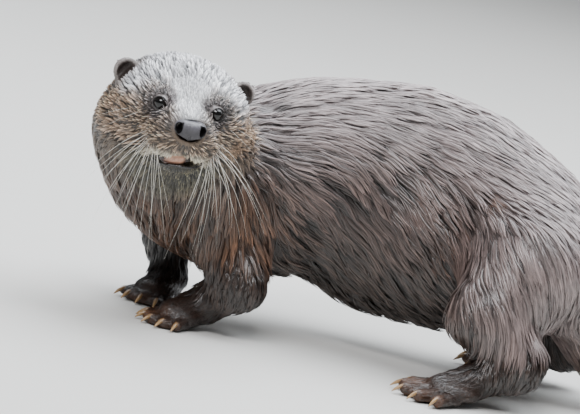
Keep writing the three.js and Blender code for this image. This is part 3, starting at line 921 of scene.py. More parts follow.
class Paint:
    """A new material with its shader, and the few kinds of node that the finishes are made of."""

    def __init__(self, name: str) -> None:
        """Starts the material.

        Args:
            name: Its name.
        """
        self.material = bpy.data.materials.new(name)
        self.material.use_nodes = True
        self.tree = self.material.node_tree
        self.shader = self.tree.nodes["Principled BSDF"]

    def node(self, kind: str, links: dict[str, Socket] | None = None, **values: object) -> Node:
        """A node of one kind, with its properties or sockets set by name and some sockets linked.

        Args:
            kind: Blender's name of the kind.
            links: Sources by socket name or number.
            values: Values by property or socket name.

        Returns:
            The node.
        """
        node = self.tree.nodes.new(kind)
        for key, value in values.items():
            if hasattr(node, key):
                setattr(node, key, value)
            else:
                node.inputs[key.replace("_", " ")].default_value = value
        for key, source in (links or {}).items():
            self.tree.links.new(source, node.inputs[int(key)] if key.isdigit() else node.inputs[key])
        return node

    def into(self, socket: str, source: Socket) -> None:
        """Links a value to the shader."""
        self.tree.links.new(source, self.shader.inputs[socket])

    def place(self) -> Socket:
        """The object's own coordinates."""
        return self.node("ShaderNodeTexCoord").outputs["Object"]

    def strand(self) -> Socket:
        """The map "Strand"."""
        return self.node("ShaderNodeUVMap", uv_map="Strand").outputs["UV"]

    def part(self, vector: Socket, axis: str) -> Socket:
        """One coordinate of a vector."""
        return self.node("ShaderNodeSeparateXYZ", {"Vector": vector}).outputs[axis]

    def noise(self, vector: Socket, scale: float, detail: float = 2.0, **values: float) -> Socket:
        """A noise over a vector."""
        node = self.node("ShaderNodeTexNoise", {"Vector": vector}, Scale=scale, Detail=detail, **values)
        return node.outputs["Fac"]

    def cells(self, vector: Socket, scale: float) -> Socket:
        """Distance from the nearest of the points scattered over a vector."""
        return self.node("ShaderNodeTexVoronoi", {"Vector": vector}, Scale=scale).outputs["Distance"]

    def times(self, a: Socket, b: Socket | Sequence[float]) -> Socket:
        """Product of two vectors, the second a value of its own or three numbers.

        Args:
            a: First vector.
            b: Second one.

        Returns:
            The product.
        """
        node = self.node("ShaderNodeVectorMath", {"0": a}, operation="MULTIPLY")
        if isinstance(b, Socket):
            self.tree.links.new(b, node.inputs[1])
        else:
            node.inputs[1].default_value = b
        return node.outputs["Vector"]

    def ramp(self, source: Socket, stops: Sequence[tuple[float, float | Sequence[float]]]) -> Socket:
        """A ramp through stops of place and value, each value a grey or a display colour.

        Args:
            source: What the ramp reads.
            stops: The stops in order.

        Returns:
            The ramp's colour.
        """
        node = self.node("ShaderNodeValToRGB", {"Fac": source})
        elements = node.color_ramp.elements
        while len(elements) < len(stops):
            elements.new(0.5)
        for element, (place, value) in zip(elements, stops):
            element.position = place
            element.color = rgba(value) if isinstance(value, tuple) else (value, value, value, 1.0)
        return node.outputs["Color"]

    def rough(self, by: Socket, low: float, high: float, span: tuple[float, float] = (0.3, 0.7)) -> None:
        """Runs the roughness from low to high as a value crosses the span.

        Args:
            by: The value.
            low: Roughness below the span.
            high: Roughness above it.
            span: Where it starts and ends.
        """
        node = self.node("ShaderNodeMapRange", {"Value": by}, From_Min=span[0], From_Max=span[1], To_Min=low,
                         To_Max=high)
        self.into("Roughness", node.outputs["Result"])

    def bump(self, height: Socket, strength: float, distance: float) -> None:
        """Raises the surface by a height times a distance in metres."""
        self.into("Normal", self.node("ShaderNodeBump", {"Height": height}, Strength=strength,
                                      Distance=distance).outputs["Normal"])

    def tint(self, by: Socket) -> None:
        """Colours the surface by its own tint, darkened or lightened by a factor."""
        tint = self.node("ShaderNodeAttribute", attribute_name="Tint").outputs["Color"]
        self.into("Base Color", self.times(tint, by))


@dataclass(frozen=True)
class Finish:
    """A surface finish: its even settings, and a pattern that each kind has of its own."""

    name: str
    colour: tuple[float, float, float] = (0.5, 0.5, 0.5)
    roughness: float = 0.5
    coat: float = 0.0
    coat_roughness: float = 0.1
    specular: float = 0.5
    ior: float = 1.45

    def build(self) -> Material:
        """Makes the material.

        Returns:
            The material.
        """
        paint = Paint(self.name)
        for socket, value in (("Base Color", rgba(self.colour)), ("Roughness", self.roughness),
                              ("Coat Weight", self.coat), ("Coat Roughness", self.coat_roughness),
                              ("Specular IOR Level", self.specular), ("IOR", self.ior)):
            paint.shader.inputs[socket].default_value = value
        self.pattern(paint)
        return paint.material

    def pattern(self, paint: Paint) -> None:
        """Adds the pattern: none on a plain finish."""


@dataclass(frozen=True)
class WetHair(Finish):
    """Wet hair: fine strands run the length of each lock in colour, gloss and relief."""

    strand: tuple[float, float, float] = (2.2, 0.10, 1.0)
    contrast: float = 0.55
    relief: float = 0.0004

    def pattern(self, paint: Paint) -> None:
        """Strands by the map "Strand", in millimetres across and along each lock, and broad blotches.

        Args:
            paint: The material in the making.
        """
        strands = paint.noise(paint.times(paint.strand(), self.strand), 1.0, Roughness=0.6)
        light = 1.0 + self.contrast * 0.7
        grey = paint.ramp(strands, [(0.3, 1.0 - self.contrast), (0.52, 0.9), (0.72, light)])
        blotch = paint.ramp(paint.noise(paint.place(), 55.0), [(0.35, 0.86), (0.65, 1.1)])
        paint.tint(paint.times(grey, blotch))
        paint.rough(strands, self.roughness + 0.12, self.roughness - 0.08)
        paint.bump(strands, 0.6, self.relief)


@dataclass(frozen=True)
class Hide(Finish):
    """Skin under the coat, or short flat hair: the tint, darkened, with a relief of short dashes."""

    # How far the tint is darkened; on the skin under the coat this is painted shade of the gaps between the
    # locks.
    shade: float = 0.7
    scale: float = 900.0
    relief: float = 0.0004

    def pattern(self, paint: Paint) -> None:
        """A fine noise in the tint; the same noise and cells in the relief.

        Args:
            paint: The material in the making.
        """
        place = paint.place()
        fine = paint.noise(place, self.scale, 3.0)
        paint.tint(paint.ramp(fine, [(0.3, self.shade * 0.7), (0.7, self.shade * 1.25)]))
        cells = paint.cells(place, self.scale * 0.7)
        height = paint.node("ShaderNodeMath", {"0": fine, "1": cells}, operation="ADD")
        paint.bump(height.outputs["Value"], 0.7, self.relief)


@dataclass(frozen=True)
class Eyeball(Finish):
    """A dark, wet eye: black pupil, deep brown iris, clear gloss over both."""

    rings: tuple[tuple[float, tuple[float, float, float]], ...] = (
        (0.0, (4, 3, 3)), (0.16, (5, 4, 4)), (0.2, (15, 10, 8)), (0.34, (12, 9, 7)), (0.42, (6, 5, 5)))

    def pattern(self, paint: Paint) -> None:
        """Rings and rays by the map "Strand": the angle from the eye's axis, 0 to 1, and the turn round it.

        Args:
            paint: The material in the making.
        """
        strand = paint.strand()
        rays = paint.ramp(paint.noise(strand, 30.0), [(0.3, 0.6), (0.7, 1.3)])
        paint.into("Base Color", paint.times(paint.ramp(paint.part(strand, "X"), self.rings), rays))


@dataclass(frozen=True)
class Leather(Finish):
    """Bare wet skin, as on the nose and lips: a cobbled relief and a mottled colour."""

    cobble: float = 900.0
    relief: float = 0.0003
    mottled: float = 0.25

    def pattern(self, paint: Paint) -> None:
        """Patches in the tint and the gloss, cells in the relief.

        Args:
            paint: The material in the making.
        """
        place = paint.place()
        patch = paint.noise(place, 260.0, 3.0)
        paint.tint(paint.ramp(patch, [(0.3, 1.0 - self.mottled), (0.7, 1.0 + self.mottled)]))
        paint.rough(patch, self.roughness - 0.08, self.roughness + 0.1)
        paint.bump(paint.cells(place, self.cobble), 0.5, self.relief)


@dataclass(frozen=True)
class Horn(Finish):
    """Claw horn: pale at the tip, with lengthwise grain."""

    tip: tuple[float, float, float] = (214, 176, 124)
    grain: tuple[float, float, float] = (14.0, 1.2, 1.0)

    def pattern(self, paint: Paint) -> None:
        """Root to tip by the map "Strand": the turn round the claw and the way along it, 0 to 1.

        Args:
            paint: The material in the making.
        """
        strand = paint.strand()
        grain = paint.noise(paint.times(strand, self.grain), 1.0, 3.0)
        along = paint.part(strand, "Y")
        where = paint.node("ShaderNodeMath", {"0": along, "1": grain}, operation="MULTIPLY_ADD")
        where.inputs[2].default_value = 0.1
        colour = paint.node("ShaderNodeMix", {"Factor": where.outputs["Value"]}, data_type="RGBA")
        colour.inputs[6].default_value = rgba(self.colour)
        colour.inputs[7].default_value = rgba(self.tip)
        paint.into("Base Color", colour.outputs[2])
        paint.bump(grain, 0.4, 0.0002)


@dataclass(frozen=True)
class Bristle(Finish):
    """A whisker: pale, a little glossy, darker for a short way at its root."""

    root: tuple[float, float, float] = (120, 98, 76)

    def pattern(self, paint: Paint) -> None:
        """The colour by the map "Strand", which holds the way along the whisker, 0 to 1."""
        along = paint.part(paint.strand(), "Y")
        paint.into("Base Color", paint.ramp(along, [(0.0, self.root), (0.16, self.colour)]))


@dataclass(frozen=True)
class Ground(Finish):
    """The plain pale floor, faintly uneven in gloss."""

    def pattern(self, paint: Paint) -> None:
        """Broad patches of gloss."""
        paint.rough(paint.noise(paint.place(), 3.0), self.roughness - 0.1, self.roughness + 0.1, (0.0, 1.0))


# ---- Skin ---------------------------------------------------------------------------------------------


class Atlas:
    """Depth and lie of the coat on a coarse grid, for quick reading anywhere."""

    def __init__(self, form: OtterForm, step: float = 7.0) -> None:
        """Works both out at every grid point.

        Args:
            form: The animal.
            step: Spacing of the grids.
        """
        axes = [np.arange(lo, hi, step, dtype=np.float32) for lo, hi in ((-190, 640), (-196, 130), (-12, 236))]
        shape = [len(a) for a in axes]
        zones = Zones(form, Grid(axes).points())
        self.depth = Grid(axes, zones.depth().reshape(shape))
        self.lie = [Grid(axes, column.reshape(shape)) for column in zones.flow().T]

    def flow(self, p: Array) -> Array:
        """Direction of the hair at each point."""
        return unit(np.stack([grid.sample(p) for grid in self.lie], axis=1))


@dataclass
class Skin:
    """The whole animal's skin in one mesh, with ears, eye sockets, mouth and toes, under the coat's depth.

    Its grid's steps are coarse, fine at the head, and low at the feet.
    """

    ear_size: tuple[float, float, float] = (4.6, 11.0, 12.0)
    ear_cup: tuple[float, float, float] = (5.0, 7.8, 8.6)
    cup_at: tuple[float, float, float] = (4.3, -0.5, 0.6)
    mouth: tuple[tuple[float, float, float, float], ...] = (
        (9, -17, -42.5, 2.6), (16, -11, -38.6, 4.8), (19, -3, -35.6, 5.6), (19.5, 6, -35, 5),
        (16, 14, -37.5, 2.6))
    nose_bed: tuple[float, float, float] = (9.5, 11.5, 8.5)
    socket_gap: float = 0.6
    face_at: tuple[float, float, float] = (-20.0, 0.0, -15.0)
    face: tuple[float, float, float] = (75.0, 70.0, 60.0)
    floor: float = 0.15
    coarse: float = 3.5
    fine: float = 1.5
    low: float = 1.8
    atlas: Atlas = field(init=False)
    grid: Grid = field(init=False)
    shape: Shape = field(init=False)

    @classmethod
    def ear_local(cls, h: Array, lean: float = 20.0, turn: float = 8.0) -> Array:
        """Head points, folded, in the frame of the left ear: +X out of the cup, +Z to its tip.

        Args:
            h: Points in the head's frame.
            lean: Degrees that the ear leans outwards.
            turn: Degrees that it turns to the side.

        Returns:
            Points in the ear's frame.
        """
        q = folded(h) - f32(OTTER.head.ear)
        a, b = -math.radians(turn), math.radians(lean)
        x, y = q[:, 0] * math.cos(a) - q[:, 1] * math.sin(a), q[:, 0] * math.sin(a) + q[:, 1] * math.cos(a)
        z = q[:, 2]
        return np.stack([x, y * math.cos(b) - z * math.sin(b), y * math.sin(b) + z * math.cos(b)], axis=1)

    def distance(self, p: Array) -> Array:
        """Field of the skin: the flesh less the coat's depth, the ears joined on and the openings cut out.

        Args:
            p: Points in the layout frame.

        Returns:
            Distances.
        """
        d = OTTER.distance(p) + self.atlas.depth.sample(p)
        h = OTTER.head.into(p)
        near = (np.abs(h - f32(self.face_at)) < f32(self.face)).all(axis=1)
        q = h[near]
        ear = self.ear_local(q)
        shell = carve(lump(ear, (0, 0, 0), self.ear_size), lump(ear, self.cup_at, self.ear_cup), 1.2)
        e = union(d[near], shell, 4.0)
        socket = np.linalg.norm(folded(q) - f32(OTTER.head.eye), axis=1)
        e = carve(e, socket - (OTTER.head.eye_r + self.socket_gap), 1.0)
        slit = empty(len(q))
        for a, b in zip(self.mouth, self.mouth[1:]):
            slit = union(slit, bone(q, a[:3], b[:3], a[3], b[3]), 1.0)
        e = carve(e, slit, 1.5)
        d[near] = carve(e, lump(q, np.array(OTTER.head.nose) - [1.5, 0, 0.5], self.nose_bed), 1.0)
        return f32(np.maximum(d, self.floor - p[:, 2]))

    def build(self, shop: Workshop, atlas: Atlas, finish: Material, nodes: Sequence[str]) -> None:
        """Works out the field, nets its surface, colours it and makes the piece.

        Args:
            shop: What makes the pieces.
            atlas: Depth and lie of the coat.
            finish: Its material.
            nodes: CAD nodes that it stands for.
        """
        self.atlas = atlas
        c, f = self.coarse, self.fine
        axes = (graded(-176, 622, c, ((-168, -34, f), (100, 168, self.low))),
                graded(-186, 116, c, ((-178, -82, f),)),
                graded(-3, 228, c, ((-3, 30, self.low), (128, 222, f))))
        self.grid = banded(self.distance, axes, 9.0, 17.0)
        log.info("skin grid: %s", self.grid.values.shape)
        points, quads = net_of(self.grid)
        zones = Zones(OTTER, points)
        # The skin shows between the locks: much darker under the muzzle, as painted shade between its hairs.
        tint = Markings.colour(zones) * (1.2 - 0.75 * zones.muzzle)[:, None]
        self.shape = Shape(points, [quads], tint)
        shop.make("skin", self.shape, finish, nodes)


# ---- Eyes, nose and mouth -----------------------------------------------------------------------------


def sheet_faces(rows: int, columns: int, closed: bool) -> Array:
    """Quads of a sheet of points numbered row by row; closed joins each row's last column to its first.

    Args:
        rows: Number of rows.
        columns: Number of columns.
        closed: Whether the rows are rings.

    Returns:
        Quads.
    """
    i, j = np.meshgrid(np.arange(rows - 1), np.arange(columns if closed else columns - 1), indexing="ij")
    here, there = i * columns + j, i * columns + (j + 1) % columns
    return np.stack([here, there, there + columns, here + columns], axis=-1).reshape(-1, 4)


def tubes(path: Array, radius: Array, around: int) -> tuple[Array, Array, Array]:
    """Round tapering rods along paths.

    Args:
        path: Centre points, rod by rod and ring by ring.
        radius: Radius at each of those.
        around: Points in a ring.

    Returns:
        Points, quads, and a map of the turn round and the way along each rod.
    """
    rods, rings = path.shape[:2]
    tangent = unit(np.gradient(path, axis=1))
    side = unit(np.cross(tangent, np.array([0.13, 0.21, 0.97])))
    up = np.cross(side, tangent)
    turn = np.arange(around) / around * 2 * math.pi
    ring = side[:, :, None] * np.cos(turn)[:, None] + up[:, :, None] * np.sin(turn)[:, None]
    points = path[:, :, None] + ring * radius[:, :, None, None]
    quads = sheet_faces(rings, around, True)
    quads = (quads[None] + (np.arange(rods) * rings * around)[:, None, None]).reshape(-1, 4)
    way = np.linspace(0, 1, rings)[None, :, None]
    uv = np.stack(np.broadcast_arrays((turn / 2 / math.pi)[None, None], way), axis=-1)
    uv = np.broadcast_to(uv, (rods, rings, around, 2)).reshape(-1, 2)
    return f32(points.reshape(-1, 3)), quads, f32(uv)


def capped(points: Array, quads: Array, uv: Array, rods: int, rings: int, around: int) -> Shape:
    """Rods as closed shapes, with a fan of triangles on each end.

    Args:
        points: Points, rod by rod.
        quads: Their sides.
        uv: Their map.
        rods: Number of rods.
        rings: Rings of each.
        around: Points in a ring.

    Returns:
        The rods.
    """
    base = np.arange(rods) * rings * around
    first = base[:, None] + np.arange(around)
    last = first + (rings - 1) * around
    a = np.stack([np.broadcast_to(first[:, :1], first[:, 1:-1].shape), first[:, 2:], first[:, 1:-1]], axis=-1)
    b = np.stack([np.broadcast_to(last[:, :1], last[:, 1:-1].shape), last[:, 1:-1], last[:, 2:]], axis=-1)
    return Shape(points, [quads, a.reshape(-1, 3), b.reshape(-1, 3)], maps={"Strand": uv})


@dataclass
class Eyes:
    """Both eyeballs and the lids round them.

    Rows of the lids stand at these shares of the way from the eye's axis to the rim of its opening. They lie so
    far over the skin that is under the coat, and sink by so much at the last row.
    """

    opening: tuple[float, float] = (5.35, 5.1)
    lid: float = 0.45
    rows: tuple[float, ...] = (0.9, 0.97, 1.0, 1.04, 1.09, 1.15, 1.22, 1.3, 1.42)
    under: float = 2.1
    sink: float = 1.5
    fillet: float = 1.4
    around: int = 80
    steps: int = 14

    def axes(self, side: float) -> Array:
        """Rows: the eye's axis, the way across it to the outer corner, and the way up, in the head's frame.

        Args:
            side: 1 for the left eye, -1 for the right one.

        Returns:
            The three rows.
        """
        n = OTTER.head.eye_axis(side)
        across = unit(np.array([-n[1] * side, n[0] * side, -0.06]))
        across = unit(across - n * (n @ across))
        return np.array([n, across, np.cross(n, across) * side])

    def ball(self, side: float) -> Shape:
        """A sphere with a slightly raised clear front, ringed about the eye's axis.

        Args:
            side: 1 for the left eye, -1 for the right one.

        Returns:
            The eyeball.
        """
        rings, around = 28, 40
        t = np.linspace(0.0, math.pi, rings)[:, None]
        u = np.arange(around)[None] / around * 2 * math.pi
        r = (OTTER.head.eye_r - 0.1) * (1.0 + 0.03 * smooth(0.75, 0.2, t))
        n, across, up = self.axes(side)
        local = (np.cos(t) * r)[..., None] * n + (np.sin(t) * np.cos(u) * r)[..., None] * across \
            + (np.sin(t) * np.sin(u) * r)[..., None] * up
        centre = np.array(OTTER.head.eye) * [1, side, 1]
        uv = np.stack(np.broadcast_arrays(t / math.pi, u / 2 / math.pi), axis=-1).reshape(-1, 2)
        faces = sheet_faces(rings, around, True)
        return Shape(OTTER.head.out(local.reshape(-1, 3) + centre), [faces if side < 0 else faces[:, ::-1]],
                     maps={"Strand": f32(uv)})

    def lids(self, side: float) -> Shape:
        """The rim that rests on the eyeball and the lid outside it, a sheet of angle by distance.

        Height over the eye's plane is the greater of a sphere round the eyeball and the skin, with a fillet,
        and sinks into the skin at its outer edge.

        Args:
            side: 1 for the left eye, -1 for the right one.

        Returns:
            The lids.
        """
        g = np.array(self.rows)
        u = np.arange(self.around)[None] / self.around * 2 * math.pi
        wide, tall = self.opening
        outline = 1.0 / np.sqrt((np.cos(u) / wide) ** 2 + (np.sin(u) / tall) ** 2)
        outline = outline + 0.5 * np.maximum(-np.cos(u), 0) ** 10 + 0.3 * np.maximum(np.cos(u), 0) ** 8
        rho = outline * g[:, None]
        n, across, up = self.axes(side)
        centre = np.array(OTTER.head.eye) * [1, side, 1]
        flat = (rho * np.cos(u))[..., None] * across + (rho * np.sin(u))[..., None] * up + centre
        flat = flat.reshape(-1, 3)
        t = np.full(len(flat), 10.0)
        for _ in range(self.steps):
            p = OTTER.head.out(flat + n * t[:, None])
            t = t - 0.8 * (OTTER.distance(p) + self.under)
        skin = t.reshape(rho.shape)
        r = OTTER.head.eye_r + 0.25 + self.lid * smooth(0.97, 1.1, g)[:, None]
        ball = np.sqrt(np.maximum(r**2 - rho**2, 0.0)) - 3.0 * np.maximum(rho - r, 0)
        height = -union(-ball, -skin, self.fillet)
        inner = np.sqrt(np.maximum((OTTER.head.eye_r + 0.05) ** 2 - rho**2, 0))
        height = np.where(g[:, None] < 1.0, inner, height) - self.sink * smooth(1.06, g[-1], g)[:, None]
        points = OTTER.head.out(flat + n * height.reshape(-1, 1))
        rim = np.repeat(smooth(1.16, 1.06, g), self.around)
        tint = mix(Markings.colour(Zones(OTTER, points)) * 0.8, linear(np.array((26, 21, 21))), rim)
        faces = sheet_faces(len(g), self.around, True)
        return Shape(points, [faces if side < 0 else faces[:, ::-1]], tint)

    def build(self, shop: Workshop, gloss: Material, hide: Material) -> None:
        """Makes both eyeballs and both sets of lids.

        Args:
            shop: What makes the pieces.
            gloss: Material of the eyeballs.
            hide: Material of the lids.
        """
        for side, name in ((1.0, "left"), (-1.0, "right")):
            shop.make(f"eyeball_{name}", self.ball(side), gloss, [f"eye_{name}"])
            shop.make(f"eyelids_{name}", self.lids(side), hide)


@dataclass
class Nose:
    """The bare nose pad, in the head's frame about its own middle."""

    heights: tuple[float, ...] = (-7.6, -6.8, -5.8, -4.8, -4.0, -3.0, -0.8, 2, 4, 6, 7.6)
    widths: tuple[float, ...] = (0.3, 1.5, 3.6, 6.2, 8.6, 10.6, 12.2, 12.6, 12.3, 11, 8)
    front: float = 8.2
    nostril: tuple[float, float, float] = (5.4, 10.0, 1.9)
    nostril_r: tuple[float, float, float] = (8.0, 3.3, 4.3)
    splay: float = 30.0
    cell: float = 0.6

    def hole(self, q: Array) -> Array:
        """Field of both nostrils: a splayed oval with a slit that runs out and down from it.

        Args:
            q: Points in the pad's frame.

        Returns:
            Distances.
        """
        a = math.radians(self.splay)
        n = f32(np.stack([c - at for c, at in zip(folded(q).T, self.nostril)], axis=1))
        turned = np.stack([n[:, 0] * math.cos(a) + n[:, 1] * math.sin(a),
                           -n[:, 0] * math.sin(a) + n[:, 1] * math.cos(a), n[:, 2]], axis=1)
        oval = lump(f32(turned), (0, 0, 0), self.nostril_r)
        slit = bone(n, (0, 1.5, -1.5), (-4.5, 6.5, -4.0), 1.7, 0.9)
        notch = bone(n, (1.5, -1.2, 2.5), (0.5, -2.4, 4.6), 1.5, 0.8)
        return union(union(oval, slit, 1.0), notch, 1.0)

    def distance(self, q: Array) -> Array:
        """A shield narrowing to its lower tip, domed in front, with nostrils and a groove up its middle.

        Args:
            q: Points in the pad's frame.

        Returns:
            Distances.
        """
        x, y, z = q.T
        wide = np.interp(z, self.heights, self.widths)
        d = (np.abs(y) - wide) * 0.8
        d = -union(-d, -(np.abs(z + 1.8) - 9.6), 1.0)
        dome = self.front - 3.6 * (y / 14) ** 2 - 3.0 * ((z - 1) / 9) ** 2
        dome = dome + 0.8 * smooth(4, 0, np.abs(y)) * smooth(-2, 4, z)
        d = -union(-d, -(x - dome) * 0.9, 3.4)
        d = np.maximum(d, -(x + 11))
        hole = self.hole(q)
        d = carve(d - 0.2 * smooth(2.6, 0.8, np.abs(hole - 0.8)), hole, 0.9)
        groove = bone(q, (self.front - 1.2, 0, -3.5), (self.front - 5.0, 0, -12), 0.7, 1.0)
        return f32(carve(d, groove, 1.0))

    def build(self, shop: Workshop, finish: Material) -> None:
        """Nets the pad, colours it and makes the piece.

        Args:
            shop: What makes the pieces.
            finish: Its material.
        """
        spans = ((-12.5, 11), (-17, 17), (-14, 12))
        grid = Grid([np.arange(lo, hi, self.cell, dtype=np.float32) for lo, hi in spans])
        points, quads = net_of(grid.fill(self.distance(grid.points())))
        edge = np.interp(points[:, 2], self.heights, self.widths) - np.abs(points[:, 1])
        tint = np.tile(f32((52, 50, 54)), (len(points), 1))
        # Paler towards the top: painted sheen of the light from above.
        tint = mix(tint, (92, 90, 96), smooth(-1, 7, points[:, 2]) * 0.9)
        # A dark rim along the lower sides: painted shadow in the groove between pad and lip.
        tint = mix(tint, (24, 19, 19), smooth(1.6, 0.6, edge) * smooth(-2.5, -4.5, points[:, 2]))
        # Near black in the nostrils: painted shade in the holes.
        tint = mix(tint, (7, 5, 6), smooth(0.55, 0.1, self.hole(points)))
        pad = Shape(OTTER.head.out(points + f32(OTTER.head.nose)), [quads], linear(tint))
        shop.make("nose_pad", pad, finish, ["nose"])


@dataclass
class Mouth:
    """The parted lips: dark wet rims over and under the slit, and the pink inside between them."""

    upper: tuple[tuple[float, float, float], ...] = (
        (6, -20, -43), (13, -15.5, -37.5), (19.5, -9, -32.2), (22.5, -1, -29.4), (22.5, 7, -30),
        (19.5, 14, -33.5), (13, 19.5, -38.5))
    lower: tuple[tuple[float, float, float], ...] = (
        (6, -20, -43.4), (14, -15, -43.6), (20, -9, -42.6), (22.4, -1, -41.4), (22.4, 7, -40.6),
        (19, 14, -40.4), (13, 19.5, -39.5))
    thick: float = 1.7
    rings: int = 40
    around: int = 10
    inner: tuple[float, float, float] = (6.0, 13.0, 6.6)

    def lip(self, stations: Sequence[Sequence[float]], thick: float) -> Shape:
        """One lip as a rod that swells in the middle.

        Args:
            stations: Points of its middle line.
            thick: Radius in the middle.

        Returns:
            The lip.
        """
        t = np.linspace(0, 1, self.rings)
        path = f32(catmull_rom(np.array(stations), t))
        radius = thick * (0.35 + 0.65 * np.sin(np.pi * t) ** 0.5) * (1 + 0.1 * np.sin(t * 37.0))
        shape = capped(*tubes(path[None], radius[None], self.around), 1, self.rings, self.around)
        return Shape(OTTER.head.out(shape.points), shape.faces)

    def inside(self) -> Shape:
        """A pink cushion that fills the slit, uneven along its front.

        Returns:
            The cushion.
        """
        rings, around = 22, 36
        u, v = np.linspace(0, math.pi, rings)[:, None], np.arange(around)[None] / around * 2 * math.pi
        deep, wide, tall = self.inner
        y, x, z = np.broadcast_arrays(np.cos(u) * wide - 2.0, np.sin(u) * np.cos(v) * deep,
                                      np.sin(u) * np.sin(v) * tall)
        local = f32(np.stack([15.6 + x, y, -36.2 + z + y * 0.16], axis=-1).reshape(-1, 3))
        local[:, 0] += 0.5 * noise(local, 4.0, 9) - 0.012 * local[:, 1] ** 2
        return Shape(OTTER.head.out(local), [sheet_faces(rings, around, True)[:, ::-1]])

    def build(self, shop: Workshop, wet: Material) -> None:
        """Makes the lips and the inside of the mouth.

        Args:
            shop: What makes the pieces.
            wet: Material of both.
        """
        upper, lower = self.lip(self.upper, self.thick), self.lip(self.lower, self.thick * 0.65)
        lips = Shape(np.concatenate([upper.points, lower.points]),
                     upper.faces + [f + len(upper.points) for f in lower.faces])
        lips.tint = linear(np.array((24, 20, 20)) + 10 * noise(lips.points, 3.0, 4)[:, None])
        shop.make("lips", lips, wet)
        inside = self.inside()
        h = OTTER.head.into(inside.points)
        tint = np.tile(f32((188, 142, 118)), (len(h), 1))
        # Dark towards the corners: painted shade deep in the slit.
        tint = mix(tint, (40, 28, 25), smooth(6.5, 8.5, np.abs(h[:, 1] + 3)))
        inside.tint = linear(mix(tint, (70, 42, 38), smooth(-38, -41, h[:, 2]) * 0.6))
        shop.make("mouth_inside", inside, wet)


# ---- Claws and whiskers -------------------------------------------------------------------------------


@dataclass
class Claws:
    """Twenty short curved claws, one beyond the pad of each toe."""

    thick: float = 1.75
    rings: int = 12
    around: int = 12

    def shape(self, leg: LegForm) -> list[Shape]:
        """The five claws of one foot: rods bent down towards their tips, deeper than wide.

        Args:
            leg: The leg.

        Returns:
            The claws, inner one first.
        """
        origin, axes = leg.foot_frame()
        root, tip = leg.toes()
        ahead = unit(tip - root)
        s = np.linspace(0, 1, self.rings)
        reach = leg.foot.claw + 2.5
        start = tip + ahead * (leg.foot.r * 0.35 - 1.2) + np.array([0, 0, leg.foot.r * 0.42])
        drop = -(0.18 * s + 0.36 * s**2) * reach
        path = start[:, None] + ahead[:, None] * (s * reach * 0.93)[None, :, None]
        path = path + np.array([0, 0, 1.0]) * drop[None, :, None]
        path[..., 2] = np.maximum(path[..., 2], 0.5)
        radius = np.broadcast_to(self.thick * (1 - s**1.6) ** 0.8 + 0.22, path.shape[:2])
        points, quads, uv = tubes(path, radius, self.around)
        n = self.rings * self.around
        return [capped(f32(points[k * n : (k + 1) * n] @ axes + origin), quads[: len(quads) // TOES], uv[:n], 1,
                       self.rings, self.around) for k in range(TOES)]

    def build(self, shop: Workshop, finish: Material) -> None:
        """Makes each claw as its own piece.

        Args:
            shop: What makes the pieces.
            finish: Their material.
        """
        for leg in OTTER.legs:
            for number, shape in enumerate(self.shape(leg), 1):
                name = f"{leg.name}_{number}"
                shop.make(f"horn_{name}", shape, finish, [f"claw_{name}"])


